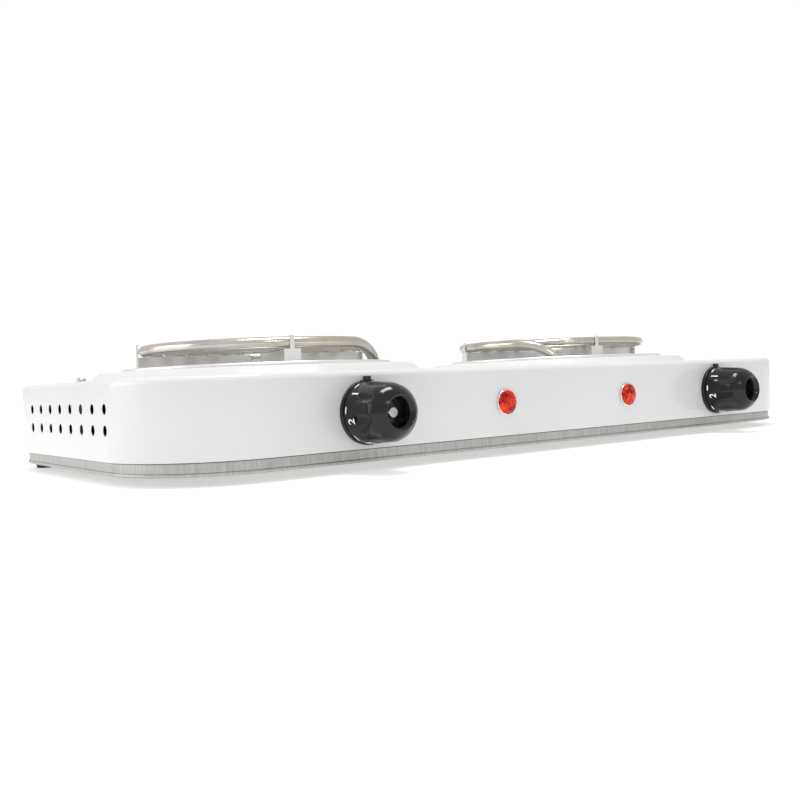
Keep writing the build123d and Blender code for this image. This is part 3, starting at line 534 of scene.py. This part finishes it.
def rubber():
    """Matt black rubber with bloom and a fine pebbled skin."""
    skin = Finish("black_rubber", IOR=1.5)
    where = skin.place()
    bloom = skin.noise(where, 110, 5)
    pebbles = skin.noise(where, 2200, 2)
    skin.feed(
        Base_Color=skin.ramp(bloom, (0.3, (0.012, 0.012, 0.012)), (0.75, (0.045, 0.044, 0.042))),
        Roughness=skin.span(bloom, 0.55, 0.8),
    )
    skin.bump(pebbles, 0.05 * MM, 0.4)
    return skin.material


def porcelain():
    """Unglazed ceramic: off-white, finely pitted."""
    clay = Finish("porcelain", IOR=1.5, Subsurface_Weight=0.05)
    where = clay.place()
    cloud = clay.noise(where, 120, 4)
    pits = clay.noise(where, 1800, 3)
    clay.feed(
        Base_Color=clay.ramp(cloud, (0.3, (0.66, 0.63, 0.56)), (0.7, (0.80, 0.78, 0.72))),
        Roughness=clay.span(pits, 0.45, 0.7),
    )
    clay.bump(pits, 0.05 * MM, 0.4)
    return clay.material


def brass():
    """Plain brass, tarnished in patches."""
    metal = Finish("brass_contacts", Metallic=1.0, IOR=1.5)
    where = metal.place()
    tarnish = metal.noise(where, 260, 5)
    tone = metal.ramp(tarnish, (0.3, (0.38, 0.25, 0.10)), (0.65, (0.72, 0.55, 0.26)))
    metal.feed(Base_Color=tone, Roughness=metal.span(tarnish, 0.5, 0.22))
    metal.bump(tarnish, 0.02 * MM, 0.3)
    return metal.material


def woven_sleeve(name, first, second):
    """Braided sleeve: crossing threads in two close tones."""
    braid = Finish(name, IOR=1.5, Sheen_Weight=0.2)
    threads = []
    for turn in (45, -45):
        where = braid.place(turn=(radians(turn), radians(turn), radians(turn)))
        threads.append(braid.add("TexWave", output="Fac", Vector=where, Scale=520.0, Distortion=1.0))
    weave = braid.add("Math", settings={"operation": "MULTIPLY"}, i0=threads[0], i1=threads[1])
    tone = braid.ramp(weave, (0.1, second), (0.6, first))
    braid.feed(Base_Color=tone, Roughness=braid.span(weave, 0.9, 0.7))
    braid.bump(weave, 0.1 * MM, 0.6)
    return braid.material


def bulb_glass():
    """Thin clear glass with faint streaks."""
    glass = Finish("clear_glass", IOR=1.47, Transmission_Weight=0.9)
    where = glass.place()
    haze = glass.noise(where, 300, 3)
    glass.feed(
        Base_Color=glass.ramp(haze, (0.3, (0.85, 0.86, 0.85)), (0.7, (0.97, 0.97, 0.96))),
        Roughness=glass.span(haze, 0.02, 0.12),
    )
    return glass.material


burner_centre = {}
for side in sides:
    low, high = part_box(f"{side}_drip_bowl")
    burner_centre[side] = Vector(((low.x + high.x) / 2, (low.y + high.y) / 2, 0))

finish = {
    "white_enamel": white_enamel(),
    "shell_inside": shell_inside(),
    "galvanised_steel": galvanised(),
    "support_steel": support_steel(),
    "black_bakelite": bakelite("black_bakelite", (0.004, 0.004, 0.004), (0.009, 0.009, 0.009), 0.0, 0.08),
    "brown_bakelite": bakelite("brown_bakelite", (0.06, 0.025, 0.012), (0.12, 0.055, 0.028), 0.1, 0.3),
    "numeral_paint": numeral_paint(),
    "amber_lens": amber_lens(),
    "bright_rim": bright_plate(),
    "zinc_screws": zinc_plate(),
    "black_rubber": rubber(),
    "porcelain": porcelain(),
    "brass_contacts": brass(),
    "wire_sleeve": woven_sleeve("wire_sleeve", (0.72, 0.69, 0.62), (0.50, 0.47, 0.41)),
    "earth_sleeve": woven_sleeve("earth_sleeve", (0.55, 0.60, 0.08), (0.05, 0.28, 0.05)),
    "clear_glass": bulb_glass(),
}
for side, centre in burner_centre.items():
    bowl = spun_metal(f"bowl_metal_{side}", centre, (0.82, 0.82, 0.82), (0.93, 0.93, 0.93), 0.3)
    finish[f"bowl_metal_{side}"] = bowl.material
    finish[f"element_sheath_{side}"] = element_sheath(side, centre)


def finish_for(node, slot):
    """The finish of a CAD node: bowls and elements have one each side."""
    return finish.get(slot) or finish[f"{slot}_{node.split('_')[0]}"]


node_slots = {part["node"]: part["material_slot"] for part in frame["record"]["subparts"]}
for node, piece in frame["nodes"].items():
    piece.data.materials.clear()
    piece.data.materials.append(finish_for(node, node_slots[node]))


# --- Enclosure ---------------------------------------------------------------


def body_outline(mesh, up):
    """The plan outline of the body: a rectangle with its corners rounded."""
    corners = [
        mesh.verts.new((x * half_length, middle_y + y * half_depth, up))
        for x, y in ((-1, -1), (1, -1), (1, 1), (-1, 1))
    ]
    mesh.faces.new(corners)
    bmesh.ops.bevel(
        mesh,
        geom=corners,
        offset=corner_radius,
        offset_type="OFFSET",
        segments=corner_steps,
        profile=0.5,
        affect="VERTICES",
        material=-1,
    )
    bmesh.ops.delete(mesh, geom=list(mesh.faces), context="FACES_ONLY")
    return list(mesh.edges)


def outline_place(inset, up):
    """Moves a point of the outline inwards by an inset and to a height."""
    straight_x = half_length - corner_radius
    straight_y = half_depth - corner_radius

    def place(point):
        middle = Vector((
            min(max(point.x, -straight_x), straight_x),
            middle_y + min(max(point.y - middle_y, -straight_y), straight_y),
        ))
        outwards = (point.xy - middle).normalized()
        moved = middle + outwards * (corner_radius - inset)
        return Vector((moved.x, moved.y, up))

    return place


def circle_place(centre, radius, up):
    """Moves a point of a level circle to another radius and height."""

    def place(point):
        outwards = (point.xy - centre.xy).normalized()
        moved = centre.xy + outwards * radius
        return Vector((moved.x, moved.y, up))

    return place


def plinth_profile():
    """Radius and height pairs from the flat top, up the slope and in to the bowl's opening."""
    slope = atan2(plinth_height, plinth_foot_radius - plinth_top_radius)
    foot_reach = plinth_foot_radius + plinth_foot_roll * tan(slope / 2)
    top_reach = plinth_top_radius - plinth_roll * tan(slope / 2)
    steps = 6
    foot_up = top_up + plinth_foot_roll
    profile = arc(foot_reach, foot_up, plinth_foot_roll, -pi / 2, -pi / 2 - slope, steps)
    profile += arc(top_reach, plinth_up - plinth_roll, plinth_roll, pi / 2 - slope, pi / 2, steps)
    profile.append((opening_radius + opening_edge, plinth_up))
    profile.append((opening_radius, plinth_up - opening_edge))
    profile.append((opening_radius, plinth_up - opening_lip))
    return profile


def vent_circles(mesh, sign):
    """Two rows of round outlines in one end of the shell."""
    outlines = []
    for row_up in vent_rows_up:
        for number in range(vent_count):
            y = vent_first_y - number * vent_pitch
            place = Matrix.Translation((sign * half_length, y, row_up)) @ Matrix.Rotation(pi / 2, 4, "Y")
            outlines.append((circle(mesh, vent_radius + vent_edge, 28, place), y, row_up))
    return outlines


def vent_hole(mesh, outline, sign, y, up):
    """Draws a vent's edge inwards in a small round."""
    steps = 4
    for number in range(1, steps + 1):
        angle = pi / 2 * number / steps
        radius = vent_radius + vent_edge * (1 - sin(angle))
        x = sign * (half_length - vent_sink * (1 - cos(angle)))

        def place(point):
            outwards = Vector((0, point.y - y, point.z - up)).normalized()
            return Vector((x, y, up)) + outwards * radius

        outline = extrude_loop(mesh, outline, place)


def open_end_wall(mesh, walls, sign):
    """Takes out one end wall with the first step of its corners. Returns the edges of the gap."""
    near = half_length - wall_reach
    end_wall = [face for face in walls if sign * face.calc_center_median().x > near]
    edges = {edge for face in end_wall for edge in face.edges}
    taken = set(end_wall)
    inner = [edge for edge in edges if len(edge.link_faces) == 2 and set(edge.link_faces) <= taken]
    bmesh.ops.delete(mesh, geom=end_wall, context="FACES_ONLY")
    walls[:] = [face for face in walls if face.is_valid]
    border = [edge for edge in edges if edge not in inner]
    bmesh.ops.delete(mesh, geom=inner, context="EDGES")
    return border


def enamel_shell():
    """Pressed body: rounded walls, rolled top edge, two plinths, vents in the ends."""
    mesh = bmesh.new()
    loop = body_outline(mesh, shell_bottom)
    loop = extrude_loop(mesh, loop, outline_place(0, top_up - top_roll))
    walls = list(mesh.faces)
    roll_steps = 8
    for number in range(1, roll_steps + 1):
        angle = pi / 2 * number / roll_steps
        inset = top_roll * (1 - cos(angle))
        loop = extrude_loop(mesh, loop, outline_place(inset, top_up - top_roll * (1 - sin(angle))))
    rims = list(loop)
    profile = plinth_profile()
    for centre in burner_centre.values():
        start_radius, start_up = profile[0]
        place = Matrix.Translation((centre.x, centre.y, start_up))
        ring = circle(mesh, start_radius, ring_steps, place)
        rims += ring
        for radius, up in profile[1:]:
            ring = extrude_loop(mesh, ring, circle_place(centre, radius, up))
    bmesh.ops.triangle_fill(mesh, use_beauty=True, edges=rims, normal=(0, 0, 1))
    for sign in sides.values():
        border = open_end_wall(mesh, walls, sign)
        vents = vent_circles(mesh, sign)
        for outline, y, up in vents:
            border += outline
        bmesh.ops.triangle_fill(mesh, use_beauty=True, edges=border, normal=(sign, 0, 0))
        for outline, y, up in vents:
            vent_hole(mesh, outline, sign, y, up)
    bmesh.ops.recalc_face_normals(mesh, faces=mesh.faces)
    highest = max(mesh.faces, key=lambda face: face.calc_center_median().z)
    if highest.normal.z < 0:
        bmesh.ops.reverse_faces(mesh, faces=mesh.faces)
    coats = [finish["white_enamel"], finish["shell_inside"]]
    piece = make_piece(mesh, "enamel_shell", coats, "appliance", ["top_shell"])
    wall = piece.modifiers.new("wall", "SOLIDIFY")
    wall.thickness = sheet
    wall.offset = -1
    wall.use_even_offset = True
    wall.material_offset = 1
    wall.material_offset_rim = 0
    even_shading(piece)
    return piece


def slot_outline(mesh, x, y, up):
    """A long round-ended outline in the tray's floor."""
    verts = bmesh.ops.create_circle(mesh, segments=20, radius=slot_radius)["verts"]
    for vert in verts:
        vert.co.x += slot_half_run if vert.co.x > 0 else -slot_half_run
        vert.co += Vector((x, y, up))
    return loop_of(verts)


def base_tray():
    """Galvanised tray: upright wall, rolled hem and a floor with cooling slots."""
    mesh = bmesh.new()
    loop = body_outline(mesh, tray_high.z)
    for vert in mesh.verts:
        vert.co = outline_place(tray_inset, tray_high.z)(vert.co)
    loop = extrude_loop(mesh, loop, outline_place(tray_inset, tray_low.z + hem_height + hem_neck))
    steps = 8
    for number in range(steps + 1):
        angle = pi * number / steps
        inset = tray_inset - hem_proud * sin(angle)
        up = tray_low.z + hem_height / 2 * (1 + cos(angle))
        loop = extrude_loop(mesh, loop, outline_place(inset, up))
    for centre in burner_centre.values():
        for number in range(-2, 3):
            loop = loop + slot_outline(mesh, centre.x, centre.y + number * slot_pitch, tray_low.z)
    bmesh.ops.triangle_fill(mesh, use_beauty=True, edges=loop, normal=(0, 0, -1))
    bmesh.ops.recalc_face_normals(mesh, faces=mesh.faces)
    lowest = min(mesh.faces, key=lambda face: face.calc_center_median().z)
    if lowest.normal.z > 0:
        bmesh.ops.reverse_faces(mesh, faces=mesh.faces)
    zinc = [finish["galvanised_steel"]]
    piece = make_piece(mesh, "galvanised_tray", zinc, "appliance", ["base_tray"])
    wall = piece.modifiers.new("wall", "SOLIDIFY")
    wall.thickness = tray_sheet
    wall.offset = -1
    wall.use_even_offset = True
    even_shading(piece)
    return piece


# --- Burners -----------------------------------------------------------------


def drip_bowl(side):
    """Pressed bowl with a rolled rim."""
    low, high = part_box(f"{side}_drip_bowl")
    outer = (high.x - low.x) / 2 - bead_radius
    bead_up = high.z - bead_radius
    wall = outer - (bead_radius - bead_tuck)
    inside = wall - sheet
    floor = low.z + sheet
    profile = [(0, low.z)]
    profile += arc(wall - bowl_corner, low.z + bowl_corner, bowl_corner, -pi / 2, 0, 6)
    profile += arc(outer, bead_up, bead_radius, radians(-130), radians(120), 16)
    small = bowl_corner - sheet
    profile += arc(inside - small, floor + small, small, 0, -pi / 2, 6)
    profile.append((0, floor))
    mesh = bmesh.new()
    turned(mesh, profile, Matrix.Translation(burner_centre[side]))
    metal = [finish[f"bowl_metal_{side}"]]
    piece = make_piece(mesh, f"{side}_bowl", metal, "appliance", [f"{side}_drip_bowl"])
    even_shading(piece)
    return piece


def bend(mesh, ring, centre, axis, angle, step=radians(3)):
    """Carries the tube's end ring round a bend."""
    steps = max(int(angle / step), 6)
    made = bmesh.ops.spin(mesh, geom=ring, cent=centre, axis=axis, angle=angle, steps=steps)
    return made["geom_last"]


def run(mesh, ring, vector):
    """Carries the tube's end ring along a straight run."""
    made = bmesh.ops.extrude_edge_only(mesh, edges=only(bmesh.types.BMEdge, ring))["geom"]
    verts = only(bmesh.types.BMVert, made)
    bmesh.ops.translate(mesh, vec=vector, verts=verts)
    return verts + loop_of(verts)


def outwards_at(azimuth):
    """A level unit vector at an azimuth."""
    return Vector((cos(azimuth), sin(azimuth), 0))


def heating_element(side):
    """Spiral of half circles whose ends turn down through the bowl."""
    low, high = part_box(f"{side}_heating_element")
    coil_up = high.z - tube_radius
    down = Vector((0, 0, -1))
    start = outwards_at(coil_start) * coil_radius + Vector((0, 0, coil_up))
    ahead = Vector((sin(coil_start), -cos(coil_start), 0))
    mesh = bmesh.new()
    facing = ahead.to_track_quat("Z", "Y").to_matrix().to_4x4()
    verts = bmesh.ops.create_circle(
        mesh, segments=28, radius=tube_radius, matrix=Matrix.Translation(start) @ facing
    )["verts"]
    first = verts + loop_of(verts)
    ring = first
    radius = coil_radius - coil_pitch / 4
    for number in range(coil_half_turns):
        shift = coil_pitch / 4 * (1 if number % 2 == 0 else -1)
        centre = outwards_at(coil_start) * shift + Vector((0, 0, coil_up))
        ring = bend(mesh, ring, centre, (0, 0, -1), pi)
        radius -= coil_pitch / 2
    angle = coil_start - pi * coil_half_turns
    heading = Vector((sin(angle), -cos(angle), 0))
    last_centre = outwards_at(coil_start) * (coil_pitch / 4)
    end = last_centre + outwards_at(angle) * (radius + coil_pitch / 2) + Vector((0, 0, coil_up))
    ring = bend(mesh, ring, end + down * inner_bend, heading.cross(down), pi / 2, radians(8))
    run(mesh, ring, down * (coil_up - inner_bend - leg_low))
    back = -ahead
    towards = down * cos(slope_lean) - outwards_at(coil_start) * sin(slope_lean)
    ring = bend(mesh, first, start + towards * slope_bend, back.cross(towards), slope_angle, radians(4))
    slope_end = start + back * slope_bend * sin(slope_angle)
    slope_end += towards * slope_bend * (1 - cos(slope_angle))
    heading = back * cos(slope_angle) + towards * sin(slope_angle)
    upright = acos(heading.dot(down))
    side_way = (down - heading * down.dot(heading)).normalized()
    ring = bend(mesh, ring, slope_end + side_way * foot_bend, heading.cross(down), upright, radians(6))
    leg_top = slope_end.z - foot_bend * sin(upright)
    run(mesh, ring, down * (leg_top - leg_low))
    bmesh.ops.remove_doubles(mesh, verts=mesh.verts, dist=1e-6)
    bmesh.ops.recalc_face_normals(mesh, faces=mesh.faces)
    place = Matrix.Translation(burner_centre[side]) @ Matrix.Rotation(coil_turn[side], 4, "Z")
    bmesh.ops.transform(mesh, matrix=place, verts=mesh.verts)
    steel = [finish[f"element_sheath_{side}"]]
    node = f"{side}_heating_element"
    return make_piece(mesh, f"{side}_element", steel, "appliance", [node])


# --- Knobs and lamps ---------------------------------------------------------


def knob_skin(up, length):
    """The knob's outer radius at a height above its rear edge, before its nose rounds off."""
    return knob_skirt_radius - (knob_skirt_radius - knob_nose_radius) * up / length


def knob_profile(crest):
    """Radius and height pairs from the skirt's inside, round the nose and into the blind recess."""
    length = crest
    for _ in range(5):
        nose = knob_skin(length - knob_round, length)
        length = crest + knob_round - sqrt(knob_round**2 - (knob_dish_radius - nose + knob_round) ** 2)
    edge = skirt_edge
    inside = knob_skirt_radius - skirt_wall
    profile = [(inside, skirt_depth), (inside, skirt_bevel)]
    profile += [(inside + skirt_bevel, 0), (knob_skirt_radius - edge, 0)]
    profile += arc(knob_skirt_radius - edge, edge, edge, -pi / 4, 0, 3)
    steps = 26
    straight = length - knob_round
    for number in range(1, steps + 1):
        up = edge + (straight - edge) * number / steps
        profile.append((knob_skin(up, length), up))
    nose = knob_skin(straight, length)
    centre_r = nose - knob_round
    crest_angle = acos((knob_dish_radius - centre_r) / knob_round)
    profile += arc(centre_r, straight, knob_round, 0, crest_angle, 14)[1:]
    crest_up = profile[-1][1]
    profile.append((knob_dish_radius - dish_edge, crest_up - dish_edge_drop))
    profile.append((knob_recess_radius + skirt_bevel, crest_up - knob_dish_depth + skirt_bevel))
    profile.append((knob_recess_radius, crest_up - knob_dish_depth))
    profile.append((knob_recess_radius, crest_up - knob_recess_depth))
    profile.append((0, crest_up - knob_recess_depth))
    return profile, length


def press_flutes(mesh, length):
    """Presses shallow finger grooves into the knob's sides."""
    for vert in mesh.verts:
        reach = Vector((vert.co.x, vert.co.y)).length
        if reach < knob_nose_radius - flute_clear:
            continue
        angle = atan2(vert.co.x, vert.co.y)
        pitch = 2 * pi / flute_count
        off = (angle / pitch - 0.5) % 1.0
        off = min(off, 1.0 - off) * pitch * reach / flute_half_width
        along = (vert.co.z - flute_middle) / flute_half_run
        spread = off**2 + along**4
        if spread >= 1:
            continue
        depth = flute_depth * (1 - spread) ** 1.5 if vert.co.z > flute_lowest else 0.0
        share = (reach - depth) / reach
        vert.co.x *= share
        vert.co.y *= share


def on_skirt(mesh, verts, angle, up, length, lift):
    """Wraps flat shapes round the skirt: x runs round it and y runs towards the panel."""
    for vert in verts:
        height = up - vert.co.y
        radius = knob_skin(height, length) + lift
        turn = angle - vert.co.x / knob_skirt_radius
        vert.co = Vector((-radius * sin(turn), radius * cos(turn), height))


def numeral(text, size):
    """The outline of a figure as a flat mesh, centred on the origin."""
    curve = bpy.data.curves.new("numeral", "FONT")
    curve.body = text
    curve.size = size
    curve.align_x = "CENTER"
    curve.align_y = "CENTER"
    curve.offset = 0.1 * MM
    holder = bpy.data.objects.new("numeral", curve)
    flat = bpy.data.meshes.new_from_object(holder)
    bpy.data.objects.remove(holder)
    bpy.data.curves.remove(curve)
    return flat


def knob_marks(length):
    """Numerals, the off dot and the tapering marks between them, wrapped round the skirt."""
    marks = bmesh.new()
    lift = mark_lift
    for text, angle in numeral_angles.items():
        flat = numeral(text, numeral_size)
        figure = bmesh.new()
        figure.from_mesh(flat)
        bpy.data.meshes.remove(flat)
        bmesh.ops.triangulate(figure, faces=figure.faces)
        bmesh.ops.subdivide_edges(figure, edges=figure.edges, cuts=2, use_grid_fill=True)
        on_skirt(figure, figure.verts, radians(angle), numeral_up, length, lift)
        joined = bpy.data.meshes.new("figure")
        figure.to_mesh(joined)
        figure.free()
        marks.from_mesh(joined)
        bpy.data.meshes.remove(joined)
    dot = bmesh.ops.create_circle(marks, cap_ends=True, segments=20, radius=off_dot_radius)["verts"]
    on_skirt(marks, dot, 0.0, numeral_up, length, lift)
    angles = [0, *numeral_angles.values()]
    for first, second in zip(angles, angles[1:]):
        middle = radians(first + ramp_place * (second - first))
        half_run = radians(second - first) * knob_skirt_radius * ramp_share
        strip = bmesh.ops.create_grid(marks, x_segments=18, y_segments=1, size=1.0)["verts"]
        for vert in strip:
            half_width = ramp_half_width * sqrt(max(1 - vert.co.x**2, 0.02))
            vert.co = Vector((vert.co.x * half_run, vert.co.y * half_width, 0))
        on_skirt(marks, strip, middle, ramp_up, length, lift)
    bmesh.ops.recalc_face_normals(marks, faces=marks.faces)
    for face in marks.faces:
        outwards = Vector((face.calc_center_median().x, face.calc_center_median().y, 0))
        if face.normal.dot(outwards) < 0:
            face.normal_flip()
        face.material_index = 1
    result = bpy.data.meshes.new("knob_marks")
    marks.to_mesh(result)
    marks.free()
    return result


def knob(side):
    """Black moulded knob with grooves, white numerals and a blind recess in its nose."""
    low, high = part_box(f"{side}_knob")
    crest = high.y - low.y
    profile, length = knob_profile(crest)
    mesh = bmesh.new()
    turned(mesh, profile, Matrix.Identity(4), 240)
    press_flutes(mesh, length)
    mesh.from_mesh(knob_marks(length))
    facing = Matrix.Translation(((low.x + high.x) / 2, high.y, (low.z + high.z) / 2))
    facing = facing @ Matrix.Rotation(pi / 2, 4, "X")
    bmesh.ops.transform(mesh, matrix=facing, verts=mesh.verts)
    coats = [finish["black_bakelite"], finish["numeral_paint"]]
    node = f"{side}_knob"
    return make_piece(mesh, f"{side}_dial", coats, f"{side}_control", [node], 50)


def lens(side):
    """Cut lens of a pilot lamp: flat facets round a small table."""
    low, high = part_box(f"{side}_lamp_lens")
    radius = (high.x - low.x) / 2 + lens_overlap
    shank = radius - lens_shank_inset
    cap_rear = low.y + lens_proud
    profile = [(0, -lens_shank), (shank, -lens_shank), (shank, 0), (radius, 0), (radius, lens_edge)]
    profile += [(radius * 0.72, lens_proud * 0.8), (radius * 0.4, lens_proud), (0, lens_proud)]
    mesh = bmesh.new()
    turned(mesh, profile, Matrix.Identity(4), lens_facets)
    place = Matrix.Translation(((low.x + high.x) / 2, cap_rear, (low.z + high.z) / 2))
    bmesh.ops.transform(mesh, matrix=place @ Matrix.Rotation(pi / 2, 4, "X"), verts=mesh.verts)
    node = f"{side}_lamp_lens"
    piece = make_piece(mesh, f"{side}_lens", [finish["amber_lens"]], "appliance", [node], 5)
    soften(piece, 0.12 * MM, 2, 8)
    return piece


enamel_shell()
base_tray()
for side in sides:
    drip_bowl(side)
    heating_element(side)
    knob(side)
    lens(side)
    softened_copy(f"{side}_element_support", f"{side}_support", "support_steel", 0.2 * MM)
    softened_copy(f"{side}_knob_bezel", f"{side}_bezel", "black_bakelite", 0.3 * MM)
softened_copy("top_screws", "rear_top_screws", "zinc_screws", 0.25 * MM)
softened_copy("lamp_housings", "lamp_rims", "bright_rim", 0.15 * MM, 3)
softened_copy("rubber_feet", "feet", "black_rubber", 0.4 * MM, 3)


# --- Studio ------------------------------------------------------------------


def camera():
    """A camera low in front of the left corner, level with the body's top edge."""
    lens_length = 40.97
    turn = radians(-37.51)
    pitch = radians(90 - 1.148)
    roll = radians(-2.34)
    eye = Vector((-0.39509, front_y - 0.35463, 0.04233))
    data = bpy.data.cameras.new("camera")
    data.lens = lens_length
    data.clip_start = 0.01
    body = bpy.data.objects.new("camera", data)
    bpy.context.scene.collection.objects.link(body)
    facing = Matrix.Rotation(turn, 4, "Z") @ Matrix.Rotation(pitch, 4, "X")
    facing = facing @ Matrix.Rotation(roll, 4, "Z")
    body.matrix_world = Matrix.Translation(eye) @ facing
    bpy.context.scene.camera = body


def softbox(name, place, target, size, power):
    """A rectangular lamp that faces a point."""
    data = bpy.data.lights.new(name, "AREA")
    data.shape = "RECTANGLE"
    data.size, data.size_y = size
    data.energy = power
    lamp = bpy.data.objects.new(name, data)
    bpy.context.scene.collection.objects.link(lamp)
    lamp.location = place
    lamp.rotation_euler = (Vector(target) - Vector(place)).to_track_quat("-Z", "Y").to_euler()


def studio():
    """Pale floor, white surround and soft lamps."""
    mesh = bmesh.new()
    bmesh.ops.create_grid(mesh, x_segments=1, y_segments=1, size=12)
    data = bpy.data.meshes.new("floor")
    mesh.to_mesh(data)
    mesh.free()
    floor = bpy.data.objects.new("floor", data)
    bpy.context.scene.collection.objects.link(floor)
    paper = Finish("floor_paper", Roughness=0.9, Emission_Color=(1, 1, 1, 1), Emission_Strength=0.45)
    grain = paper.noise(paper.place(), 40, 4)
    paper.feed(Base_Color=paper.ramp(grain, (0.3, (0.70, 0.70, 0.70)), (0.7, (0.72, 0.72, 0.72))))
    data.materials.append(paper.material)
    world = bpy.data.worlds.new("studio")
    bpy.context.scene.world = world
    world.use_nodes = True
    nodes = world.node_tree.nodes
    background = nodes["Background"]
    background.inputs["Color"].default_value = (1, 1, 1, 1)
    seen = nodes.new("ShaderNodeLightPath")
    strength = nodes.new("ShaderNodeMapRange")
    strength.inputs["To Min"].default_value = 0.8
    strength.inputs["To Max"].default_value = 1.1
    world.node_tree.links.new(seen.outputs["Is Camera Ray"], strength.inputs["Value"])
    world.node_tree.links.new(strength.outputs[0], background.inputs["Strength"])
    softbox("left_box", (-1.6, 0.9, 0.55), (0, 0, 0.03), (1.4, 1.0), 9)
    softbox("top_box", (-0.1, -0.1, 0.9), (-0.1, -0.1, 0), (0.5, 0.2), 5.5)
    softbox("front_strip", (-0.5, -1.1, 0.75), (0.1, 0, 0.03), (0.3, 0.06), 1.0)
    bpy.context.scene.view_settings.view_transform = "Standard"


camera()
studio()
